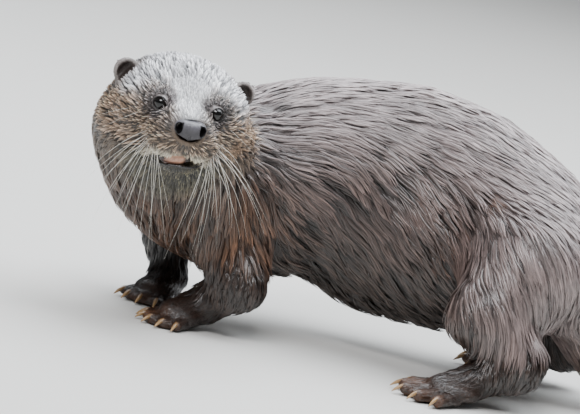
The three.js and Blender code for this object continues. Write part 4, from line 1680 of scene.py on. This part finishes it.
@dataclass
class Whiskers:
    """Long bristles from the pads beside the nose, with a few over the eyes and on the cheeks.

    The fan holds, for each side, its sign and the degrees below level of its first and last bristle.
    """

    per_side: int = 20
    thick: float = 0.16
    rings: int = 14
    fan: tuple[tuple[float, float, float], ...] = ((-1.0, 22.0, 112.0), (1.0, 8.0, 96.0))
    around: int = 5
    steps: int = 16
    seed: int = 11

    def shape(self) -> Shape:
        """Rods that leave the pads in a fan and droop: root + length (s dir + s^2 bend / 2).

        Returns:
            All the rods.
        """
        rng = np.random.default_rng(self.seed)
        roots, ways, lengths, bends, sizes = [], [], [], [], []
        for side, low, high in self.fan:
            k = np.arange(self.per_side)
            t = k / (self.per_side - 1.0)
            row = k % 3
            angle = np.radians(low + (high - low) * t + rng.normal(0, 4, self.per_side))
            roots.append(np.stack([12 + 7 * t + rng.normal(0, 1.6, self.per_side),
                                   side * (25.5 - 9.5 * t + rng.normal(0, 1.0, self.per_side)),
                                   -19.5 - row * 3.6 - 3.5 * t + rng.normal(0, 0.6, self.per_side)], axis=1))
            ways.append(np.stack([0.42 + 0 * angle, side * np.cos(angle), -np.sin(angle)], axis=1))
            lengths.append(rng.uniform(46, 74, self.per_side) * (1 - 0.18 * np.abs(t - 0.45)))
            bends.append(np.stack([-0.6 + 0 * t, side * (-0.25 + 0.12 * rng.normal(0, 1, self.per_side)),
                                   -0.75 - 0.16 * rng.normal(0, 1, self.per_side)], axis=1))
            sizes.append(self.thick * rng.uniform(0.75, 1.1, self.per_side))
            roots.append(np.array([[-2, side * 19, 9], [-5, side * 23, 8.5], [1, side * 31, -9],
                                   [-3, side * 33, -10]]))
            ways.append(np.array([[0.5, side * 0.45, 0.6], [0.3, side * 0.7, 0.5], [0.4, side * 0.8, -0.3],
                                  [0.2, side * 0.9, -0.2]]))
            lengths.append(np.array([20.0, 17.0, 30.0, 24.0]))
            bends.append(np.tile([-0.5, side * 0.2, -0.6], (4, 1)))
            sizes.append(np.full(4, self.thick * 0.6))
        root, way, bend = (np.concatenate(v) for v in (roots, ways, bends))
        length, size = np.concatenate(lengths), np.concatenate(sizes)
        t = np.full(len(root), 6.0)
        outward = unit(root * [0.6, 1, 0.5] - np.array([2.0, 0, -10]) * [0.6, 0, 0.5])
        for _ in range(self.steps):
            t = t - 0.8 * (OTTER.distance(OTTER.head.out(root + outward * t[:, None])) + 3.0)
        root = root + outward * t[:, None]
        s = np.linspace(0, 1, self.rings)[None, :, None]
        path = root[:, None] + length[:, None, None] * (s * unit(way)[:, None] + s**2 * bend[:, None] / 2)
        radius = size[:, None] * (1 - np.linspace(0, 1, self.rings)[None] ** 1.3 * 0.82)
        rods = tubes(OTTER.head.out(path.reshape(-1, 3)).reshape(path.shape), radius, self.around)
        return capped(*rods, len(root), self.rings, self.around)

    def build(self, shop: Workshop, finish: Material) -> None:
        """Makes them as one piece."""
        shop.make("whiskers", self.shape(), finish)


# ---- Coat ---------------------------------------------------------------------------------------------


@dataclass(frozen=True)
class Lock:
    """How the locks of one region are made.

    They are density, to a square centimetre; length and width in millimetres; rings along each; lift of the
    tip as a share of the coat's depth; how far a clump draws together; how many locks to a clump; sway and
    spread in degrees; the brightness of root and tip, the dark root being painted shade deep in the coat and
    the bright tip partly the hair's own paler colour and partly painted sheen; how much darker the edge of a
    clump is, which is painted shade in the gaps between clumps; and how much one lock, and one clump, differs
    from the next in brightness.
    """

    density: float
    length: float
    width: float
    rings: int
    lift: float = 0.9
    clump: float = 0.6
    crowd: int = 14
    sway: float = 10.0
    spread: float = 6.0
    root: float = 0.62
    tip: float = 1.25
    groove: float = 0.45
    vary: float = 0.2


class Region(Enum):
    """Parts of the coat, each one piece or two."""

    BACK = Lock(22, 34, 1.9, 5, 0.86, 0.36, 8, 8, 3, 0.8, 1.12, 0.35, 0.2)
    FLANK = Lock(20, 34, 1.6, 5, 1.0, 0.6, 12, 14, 4, 0.5, 1.5, 0.75, 0.36)
    RUMP = Lock(20, 34, 1.9, 5, 0.86, 0.36, 8, 7, 3, 0.8, 1.12, 0.35, 0.2)
    NECK = Lock(30, 19, 1.3, 4, 1.02, 0.65, 13, 16, 6, 0.5, 1.4, 0.6, 0.3)
    CHEST = Lock(30, 25, 1.2, 4, 1.04, 0.7, 13, 12, 6, 0.4, 2.0, 0.6, 0.4)
    BELLY = Lock(12, 20, 1.8, 3, 0.95, 0.6, 12, 14, 8)
    CROWN = Lock(84, 8.5, 1.0, 3, 1.5, 0.9, 9, 14, 16, 0.3, 1.35, 0.8, 0.34)
    CHEEK = Lock(88, 8.5, 0.85, 3, 1.05, 0.85, 7, 14, 12, 0.2, 1.9, 0.85, 0.6)
    FACE = Lock(120, 4.8, 0.62, 2, 1.05, 0.9, 6, 8, 14, 0.1, 2.1, 0.85, 0.7)
    LIP = Lock(220, 5.0, 0.5, 2, 1.3, 0.6, 7, 10, 18, 0.4, 1.2, 0.6)
    THROAT = Lock(60, 11, 0.9, 3, 1.05, 0.65, 10, 12, 12, 0.45, 1.5, 0.6, 0.3)
    LEGS = Lock(26, 12, 1.2, 3, 0.9, 0.6, 12, 10, 6, 0.55, 1.2, 0.5)
    FEET = Lock(70, 4.5, 0.75, 2, 0.7, 0.4, 8, 8, 10)
    TAIL = Lock(26, 17, 1.3, 3, 0.9, 0.55, 12, 8, 5, 0.6, 1.2, 0.5)
    EARS = Lock(90, 2.0, 0.45, 2, 0.5, 0.2, 8, 8, 12, 0.7, 1.2)


def region_of(zones: Zones, seed: int) -> Array:
    """Number of each point's region in the list of regions, with ragged borders.

    Args:
        zones: The parts of the animal at the points.
        seed: Seed of the random draws.

    Returns:
        A number for each point.
    """
    rng = np.random.default_rng(seed)
    r = rng.normal(0, 0.06, len(zones.p))
    z = zones
    order = list(Region)
    out = np.full(len(z.p), order.index(Region.FLANK))
    for region, where in (
            (Region.BACK, z.rise + r > 0.45), (Region.RUMP, z.station + r < 0.2),
            (Region.NECK, z.station + r > 0.78), (Region.CHEST, z.chest + r > 0.45),
            (Region.BELLY, z.belly + r > 0.5), (Region.TAIL, z.tail + r > 0.5),
            (Region.LEGS, z.leg + r > 0.5), (Region.FEET, z.foot + r > 0.5),
            (Region.CHEEK, z.head + r > 0.5), (Region.CROWN, z.crown + 2 * r > 0.4),
            (Region.THROAT, (z.throat + r > 0.4) | ((z.head > 0.5) & (z.h[:, 2] < -44))),
            (Region.FACE, (z.muzzle + r > 0.35) | (z.eye + r > 0.3) | (z.brow + r > 0.55)),
            (Region.LIP, z.lip + r > 0.45), (Region.EARS, z.earward > 0.9)):
        out[where] = order.index(region)
    return out


class Coat:
    """Wet hair in flat, ridged locks that start in the skin, lie along it and draw together in points.

    The roots keep these distances from the eyes' axes, the mouth, the ears' cups and the soles, and stay out of
    an oval round the nose and off the front of the ears within their reach. Paths start so deep in the skin,
    stay so far over the floor and climb or sink by so much at most in a step. A region with fewer locks than
    the fewest has none, and the chunk is the number of locks whose leaders are looked for at once.
    """

    EYE_CLEAR = 5.9
    NOSE_CLEAR = (13.0, 13.6, 9.4)
    MOUTH_CLEAR = 0.8
    CUP_CLEAR = 1.2
    EAR_FRONT, EAR_REACH = -1.5, 13.5
    SOLE_CLEAR = 2.5
    DEEP = 0.4
    LOWEST = 0.3
    CLIMB = 4.0
    FEWEST = 8
    CHUNK = 4000

    def __init__(self, skin: Skin, atlas: Atlas, seed: int = 7) -> None:
        """Sorts the skin's triangles by region and draws the roots of the locks.

        Args:
            skin: The skin that carries the coat.
            atlas: Depth and lie of the coat.
            seed: Seed of the random draws.
        """
        self.skin, self.atlas = skin, atlas
        self.rng = np.random.default_rng(seed)
        quads = skin.shape.faces[0]
        self.triangles = skin.shape.points[np.concatenate([quads[:, :3], quads[:, [0, 2, 3]]])]
        self.middle = self.triangles.mean(axis=1)
        a, b = self.triangles[:, 1] - self.triangles[:, 0], self.triangles[:, 2] - self.triangles[:, 0]
        self.area = np.linalg.norm(np.cross(a, b), axis=1) / 2
        self.region = region_of(Zones(OTTER, self.middle), seed)

    def roots(self, region: Region) -> Array:
        """Points scattered evenly over the triangles of one region, away from eyes, nose, mouth and soles.

        Args:
            region: Part of the coat.

        Returns:
            Points in the layout frame.
        """
        mine = np.nonzero(self.region == list(Region).index(region))[0]
        if not len(mine):
            return np.empty((0, 3), dtype=np.float32)
        weight = np.cumsum(self.area[mine]) * region.value.density / 100.0
        count = int(weight[-1])
        pick = np.searchsorted(weight, (np.arange(count) + self.rng.random(count)) * weight[-1] / max(count, 1))
        t = self.triangles[mine[np.minimum(pick, len(mine) - 1)]]
        u, v = f32(self.rng.random((2, count, 1)))
        u, v = np.where(u + v > 1, 1 - u, u), np.where(u + v > 1, 1 - v, v)
        p = t[:, 0] + u * (t[:, 1] - t[:, 0]) + v * (t[:, 2] - t[:, 0])
        h = OTTER.head.into(p)
        away = folded(h) - np.array(OTTER.head.eye)
        out = away @ OTTER.head.eye_axis(1.0)
        keep = ((away**2).sum(axis=1) - out**2 > self.EYE_CLEAR**2) | (out < 0)
        pad = (h - np.array(OTTER.head.nose) + np.array([0.0, 0.0, 1.0])) / np.array(self.NOSE_CLEAR)
        keep &= np.linalg.norm(pad, axis=1) > 1.0
        slit = empty(len(h))
        for a, b in zip(self.skin.mouth, self.skin.mouth[1:]):
            slit = np.minimum(slit, bone(h, a[:3], b[:3], a[3], b[3]))
        keep &= (slit > self.MOUTH_CLEAR) & (p[:, 2] > self.SOLE_CLEAR)
        ear = Skin.ear_local(h)
        keep &= lump(ear, self.skin.cup_at, self.skin.ear_cup) > self.CUP_CLEAR
        keep &= (ear[:, 0] < self.EAR_FRONT) | (np.linalg.norm(ear, axis=1) > self.EAR_REACH)
        return f32(p[keep])

    def trace(self, root: Array, length: Array, rings: int, lift: Array, sway: Array,
              guide: Array | None = None, pull: Array | None = None) -> Array:
        """Paths of locks from their roots along the lie of the coat.

        Args:
            root: Where each starts, on the skin.
            length: Length of each.
            rings: Steps along it.
            lift: Height of its tip over the skin.
            sway: Sideways turn, in radians, at each step of each lock.
            guide: Path that each draws towards, if any.
            pull: How far each does so by its tip, 0 to 1.

        Returns:
            Points, lock by lock.
        """
        grid = self.skin.grid
        p = root.copy()
        n = grid.normal(p)
        out = [p - n * self.DEEP]
        for k in range(1, rings + 1):
            s = k / rings
            d = self.atlas.flow(p)
            d = unit(d - n * dot(d, n))
            turn = sway[:, k - 1, None]
            d = d * np.cos(turn) + np.cross(n, d) * np.sin(turn)
            p = p + d * (length / rings)[:, None]
            n = grid.normal(p)
            place = p
            if guide is not None:
                place = p + (guide[:, k] - p) * (pull[:, None] * s**1.1)
                n = grid.normal(place)
            target = lift * (0.3 + 0.7 * (1.0 - (1.0 - s) ** 2.0))
            place = place + n * np.clip(target - grid.sample(place), -self.CLIMB, self.CLIMB)[:, None]
            place[:, 2] = np.maximum(place[:, 2], self.LOWEST)
            if guide is None:
                p = place
            else:
                p = p + n * np.clip(target - grid.sample(p), -self.CLIMB, self.CLIMB)[:, None]
            out.append(f32(place))
        return np.stack(out, axis=1)

    def nearest(self, p: Array, q: Array, stretch: float = 0.93) -> tuple[Array, Array]:
        """Number of the nearest row of q to each row of p, and how far it is; ways along the lie count little.

        With d the lie at p, the square of the distance is |q - p|^2 - stretch (d . (q - p))^2.

        Args:
            p: Roots of the locks.
            q: Roots of the leaders.
            stretch: How much of a way along the lie is left out, 0 to 1.

        Returns:
            Numbers and distances.
        """
        out, gap = np.empty(len(p), dtype=np.int64), np.empty(len(p), dtype=np.float32)
        squares = (q**2).sum(axis=1)
        lie = self.atlas.flow(p)
        for start in range(0, len(p), self.CHUNK):
            rows = slice(start, start + self.CHUNK)
            a, d = p[rows], lie[rows]
            far = (a**2).sum(axis=1)[:, None] + squares - 2.0 * (a @ q.T)
            far = far - stretch * (d @ q.T - (a * d).sum(axis=1)[:, None]) ** 2
            out[rows] = k = np.argmin(far, axis=1)
            gap[rows] = np.sqrt(np.maximum(far[np.arange(len(k)), k], 0.0))
        return out, gap

    @staticmethod
    def unwrap(zones: Zones) -> Array:
        """Place of each point on the flattened skin: head, trunk, tail and each leg have their own fields.

        Each field is the way along the part by the turn round it.

        Args:
            zones: The parts of the animal at the points.

        Returns:
            Map coordinates.
        """
        h = zones.h
        turn = np.arctan2(zones.outward[:, 1], zones.outward[:, 2]) / (2 * math.pi) + 0.5
        uv = np.stack([0.02 + 0.95 * zones.station, 0.02 + 0.46 * turn], axis=1)
        tail = np.stack([0.46 + 0.5 * zones.tail_at, 0.52 + 0.12 * turn], axis=1)
        uv = np.where((zones.tail > 0.5)[:, None], tail, uv)
        head_turn = np.arctan2(h[:, 1], h[:, 2] + 18) / (2 * math.pi) + 0.5
        head = np.stack([0.02 + 0.4 * head_turn, 0.54 + 0.42 * np.clip((h[:, 0] + 100) / 140, 0, 1)], axis=1)
        uv = np.where((zones.head > 0.5)[:, None], head, uv)
        lower = np.maximum(zones.leg, zones.foot) > 0.5
        for k, leg in enumerate(OTTER.legs):
            origin, axes = leg.foot_frame()
            q = (zones.p - origin) @ axes.T
            reach = np.clip((zones.p[:, 2] * 0.7 + np.hypot(q[:, 0] + 18, q[:, 1])) / 130, 0, 1)
            round_leg = np.arctan2(q[:, 1], q[:, 0] + 18) / 2 / math.pi + 0.5
            own = np.stack([0.46 + 0.27 * (k % 2) + 0.25 * reach,
                            0.67 + 0.16 * (k // 2) + 0.14 * round_leg], axis=1)
            near = np.hypot(q[:, 0], q[:, 1]) < 75
            uv = np.where((lower & near)[:, None], own, uv)
        return f32(uv)

    def locks(self, region: Region) -> Shape | None:
        """Every lock of a region as one shape: leaders first, then all of them, drawn towards their leaders.

        Args:
            region: Part of the coat.

        Returns:
            The locks, or nothing where there are too few.
        """
        kind, rng, rings = region.value, self.rng, region.value.rings
        root = self.roots(region)
        m = len(root)
        if m < self.FEWEST:
            return None
        zones = Zones(OTTER, root)
        depth = self.atlas.depth.sample(root)
        length = kind.length * (rng.uniform(0.72, 1.18, m) * (1 + 0.15 * noise(root, 22.0, 21)))
        length = f32(length * (0.45 + 0.55 * smooth(8.5, 17, zones.eye_d)) * (1 - 0.65 * zones.earward))
        phase = noise(root, 26.0, 31) * 2.2 + noise(root, 9.0, 32) * 1.2
        wave = np.sin((np.arange(rings) / rings)[None] * 2 * math.pi * 0.9 + phase[:, None] * math.pi)
        bend = math.radians(kind.sway) * wave + math.radians(kind.spread) * noise(root, 7.0, 33)[:, None] * 0.8
        bend = bend * (1 + 1.8 * zones.flank_fold)[:, None]
        leaders = rng.permutation(m)[: max(m // kind.crowd, 2)]
        high = depth[leaders] * kind.lift * rng.uniform(0.8, 1.1, len(leaders))
        guide = self.trace(root[leaders], length[leaders] * 1.12, rings, high, bend[leaders])
        mine, gap = self.nearest(root, root[leaders])
        apart = np.linalg.norm(root - root[leaders][mine], axis=1)
        spread = np.radians(kind.spread) * rng.normal(0, 0.6, (m, 1))
        edge_of = np.clip(gap / (0.36 * math.sqrt(100.0 * kind.crowd / kind.density)), 0, 1) ** 2
        lift = depth * kind.lift * (1.0 - 0.5 * edge_of) * rng.uniform(0.86, 1.06, m)
        lift = lift * (1 - 0.55 * zones.flank_fold) * (1 - 0.5 * zones.brow)
        pull = kind.clump * smooth(1.3 * kind.length, 0.7 * kind.length, apart)
        path = self.trace(root, length, rings, f32(lift), bend + spread, guide[mine], pull)
        shape = self.strips(kind, path)
        shade = rng.uniform(1 - kind.vary, 1 + kind.vary, m)
        shade = shade * rng.uniform(1 - kind.vary, 1 + kind.vary, len(leaders))[mine]
        # Random tone, and darker towards the edge of each clump: painted shade in the gaps between clumps.
        shade *= (1 + 0.15 * noise(root, 8.0, 41)) * (1.08 - kind.groove * edge_of)
        self.paint(shape, kind, zones, shade, length)
        return shape

    def strips(self, kind: Lock, path: Array) -> Shape:
        """Locks round their paths: rings of three points, edge, ridge and edge, run together into a tip.

        Args:
            kind: How they are made.
            path: Their paths.

        Returns:
            The locks, without colour.
        """
        m, rings = len(path), kind.rings
        tangent = unit(np.gradient(path, axis=1))
        n = self.skin.grid.normal(path.reshape(-1, 3)).reshape(path.shape)
        side = unit(np.cross(n, tangent))
        n = np.cross(tangent, side)
        profile = np.interp(np.linspace(0, 1, rings + 1), [0, 0.3, 0.6, 0.85, 1], [0.7, 1.0, 0.92, 0.6, 0.0])
        width = (kind.width * self.rng.uniform(0.7, 1.25, m)[:, None] * profile[None])[..., None]
        cross = np.stack([path + side * width / 2 - n * 0.1 * width, path + n * (0.3 * width),
                          path - side * width / 2 - n * 0.1 * width], axis=2)
        points = np.concatenate([cross[:, :rings].reshape(m, -1, 3), path[:, rings:]], axis=1)
        points[..., 2] = np.maximum(points[..., 2], self.skin.floor)
        size = points.shape[1]
        k = np.arange(rings - 1) * 3
        quads = np.concatenate([np.stack([j, j + 1, j + 4, j + 3], axis=1) for j in (k, k + 1)])
        last = (rings - 1) * 3
        tips = np.array([[last, last + 1, size - 1], [last + 1, last + 2, size - 1]])
        base = (np.arange(m) * size)[:, None, None]
        return Shape(f32(points.reshape(-1, 3)), [(quads[None] + base).reshape(-1, 4),
                                                  (tips[None] + base).reshape(-1, 3)])

    def paint(self, shape: Shape, kind: Lock, zones: Zones, shade: Array, length: Array) -> None:
        """Gives locks their colour and maps.

        Args:
            shape: The locks.
            kind: How they are made.
            zones: The parts of the animal at their roots.
            shade: Brightness of each, before it is evened out on the brow.
            length: Length of each.
        """
        m, rings = len(length), kind.rings
        calm = 1 - 0.65 * zones.brow
        shade = 1 + (shade - 1) * calm
        along = np.r_[np.repeat(np.linspace(0, 1, rings + 1)[:rings], 3), 1.0]
        # Dark at the root and light at the tip: painted shade deep in the coat, and at the tip the hair's own
        # paler colour with painted sheen on it.
        grade = np.interp(along, [0, 0.3, 0.75, 1], [kind.root, 0.5 + kind.root / 2, 1.06, kind.tip])
        grade = 1 + (grade - 1) * calm[:, None]
        # The ridge a little lighter than the two edges: painted highlight on the ridge and painted shade at the
        # edges.
        edge = np.r_[np.tile([0.9, 1.06, 0.9], rings), 1.0]
        colour = Markings.colour(zones)[:, None] * (shade[:, None] * grade * edge[None])[..., None]
        shape.tint = np.clip(colour, 0, 1).reshape(-1, 3)
        across = np.r_[np.tile([-0.5, 0.0, 0.5], rings), 0.0]
        strand = np.stack([across[None] * kind.width + self.rng.uniform(0, 900, (m, 1)),
                           along[None] * length[:, None]], axis=-1)
        patch = self.unwrap(zones)[:, None] + np.stack([across * 0.003, along * 0.003], axis=-1)[None]
        shape.maps = {"OFBake": patch.reshape(-1, 2), "Strand": strand.reshape(-1, 2)}

    @staticmethod
    def parted(shape: Shape, rings: int, most: int = 150000) -> list[Shape]:
        """A shape of locks cut into runs of whole locks, each of no more than so many triangles.

        Args:
            shape: The locks.
            rings: Rings of each.
            most: The number of triangles.

        Returns:
            The runs.
        """
        size, quads, tips = rings * 3 + 1, (rings - 1) * 2, 2
        count = len(shape.points) // size
        parts = -(-count * (quads * 2 + tips) // most)
        out = []
        for k in range(parts):
            a, b = count * k // parts, count * (k + 1) // parts
            rows = slice(a * size, b * size)
            out.append(Shape(shape.points[rows], [shape.faces[0][a * quads : b * quads] - a * size,
                                                  shape.faces[1][a * tips : b * tips] - a * size],
                             shape.tint[rows], {key: uv[rows] for key, uv in shape.maps.items()}))
        return out

    def build(self, shop: Workshop, finish: Material) -> None:
        """Makes one piece for each region, and more where a region has too many triangles for one.

        Args:
            shop: What makes the pieces.
            finish: Their material.
        """
        for region in Region:
            shape = self.locks(region)
            if shape is None:
                continue
            for number, part in enumerate(self.parted(shape, region.value.rings), 1):
                shop.make(f"coat_{region.name.lower()}_{number}", part, finish)


# ---- Studio -------------------------------------------------------------------------------------------


@dataclass
class Studio:
    """Floor, soft lights and camera."""

    target: tuple[float, float, float] = (0.0, -40.0, 112.4)
    elevation: float = 9.0
    roll: float = 13.0
    distance: float = 4000.0
    scale: float = 0.8
    picture: tuple[int, int] = (580, 414)

    LIGHTS = (("sky", (0.2, 0.5, 2.0), (3.0, 2.0), 150.0, (0.90, 0.95, 1.0)),
              ("window", (-0.7, -1.8, 2.2), (1.5, 0.8), 70.0, (0.97, 0.98, 1.0)),
              ("behind", (1.2, 2.0, 1.0), (2.2, 1.2), 20.0, (0.95, 0.97, 1.0)))

    def light(self, name: str, at: Sequence[float], size: tuple[float, float], power: float,
              colour: tuple[float, float, float]) -> None:
        """A rectangular soft light that faces the model.

        Args:
            name: Its name.
            at: Its place in metres.
            size: Its sides in metres.
            power: Watts.
            colour: Scene-linear colour.
        """
        data = bpy.data.lights.new(name, "AREA")
        data.shape = "RECTANGLE"
        data.size, data.size_y = size
        data.energy = power
        data.color = colour
        obj = bpy.data.objects.new(name, data)
        obj.location = at
        aim = Vector((-0.2, 0.0, 0.1)) - Vector(at)
        obj.rotation_euler = aim.to_track_quat("-Z", "Y").to_euler()
        bpy.context.scene.collection.objects.link(obj)

    def build(self, shop: Workshop, ground: Material) -> None:
        """Lays the floor, hangs the lights and sets the camera.

        Args:
            shop: What makes the pieces.
            ground: Material of the floor.
        """
        mesh = bpy.data.meshes.new("floor")
        mesh.from_pydata([(-6, -6, 0), (6, -6, 0), (6, 6, 0), (-6, 6, 0)], [], [(0, 1, 2, 3)])
        mesh.materials.append(ground)
        floor = bpy.data.objects.new("floor", mesh)
        floor.location.z = -0.0004
        bpy.context.scene.collection.objects.link(floor)
        for light in self.LIGHTS:
            self.light(*light)
        world = bpy.data.worlds.new("studio")
        world.use_nodes = True
        background = world.node_tree.nodes["Background"]
        background.inputs["Color"].default_value = (0.90, 0.93, 0.96, 1.0)
        background.inputs["Strength"].default_value = 0.25
        bpy.context.scene.world = world
        e, a = math.radians(self.elevation), math.radians(self.roll)
        forward = Vector((0, math.cos(e), -math.sin(e)))
        level, rise = Vector((1, 0, 0)), Vector((0, math.sin(e), math.cos(e)))
        right = level * math.cos(a) + rise * math.sin(a)
        up = rise * math.cos(a) - level * math.sin(a)
        camera = bpy.data.cameras.new("camera")
        camera.sensor_width = 36.0
        camera.lens = 36.0 * self.distance / (self.picture[0] * self.scale)
        camera.clip_end = 50.0
        obj = bpy.data.objects.new("camera", camera)
        at = Vector(shop.place(np.array(self.target))) - forward * self.distance * MM
        basis = Matrix((right, up, -forward)).transposed()
        obj.matrix_world = Matrix.Translation(at) @ basis.to_4x4()
        bpy.context.scene.collection.objects.link(obj)
        bpy.context.scene.camera = obj


# ---- Making -------------------------------------------------------------------------------------------

FLESH = ("head", "jaw", "neck", "chest", "belly", "rump", "tail_base", "tail_middle", "tail_tip",
         "ear_left", "ear_right",
         *(f"{part}_{side}" for side in ("left", "right")
           for part in ("upper_arm", "forearm", "forefoot", "thigh", "shank", "hindfoot")))


def main() -> None:
    """Builds the animal part by part, then the studio."""
    shop = Workshop(OTTER)
    atlas = Atlas(OTTER)
    hair = WetHair("wet_hair", roughness=0.38, coat=0.55, coat_roughness=0.24).build()
    hide = Hide("hide", roughness=0.6, coat=0.1, coat_roughness=0.35).build()
    bare = Hide("bare_lids", roughness=0.45, coat=0.25, coat_roughness=0.25, shade=0.9, scale=1500.0,
                relief=0.00025).build()
    skin = Skin()
    skin.build(shop, atlas, hide, FLESH)
    gloss = Eyeball("eye", roughness=0.08, coat=0.6, coat_roughness=0.02, specular=0.25).build()
    Eyes().build(shop, gloss, bare)
    Nose().build(shop, Leather("nose_leather", roughness=0.42, coat=0.15, coat_roughness=0.2).build())
    Mouth().build(shop, Leather("wet_lip", roughness=0.3, coat=0.5, coat_roughness=0.12, cobble=1500.0,
                                relief=0.00015).build())
    Claws().build(shop, Horn("horn", colour=(92, 62, 40), roughness=0.32, coat=0.3,
                             coat_roughness=0.15).build())
    Whiskers().build(shop, Bristle("bristle", colour=(232, 228, 218), roughness=0.35, coat=0.2).build())
    Coat(skin, atlas).build(shop, hair)
    Studio().build(shop, Ground("floor", colour=(214, 212, 208), roughness=0.75, specular=0.3).build())
    log.info("triangles in all: %d", shop.total)


if __name__ == "__main__":
    main()
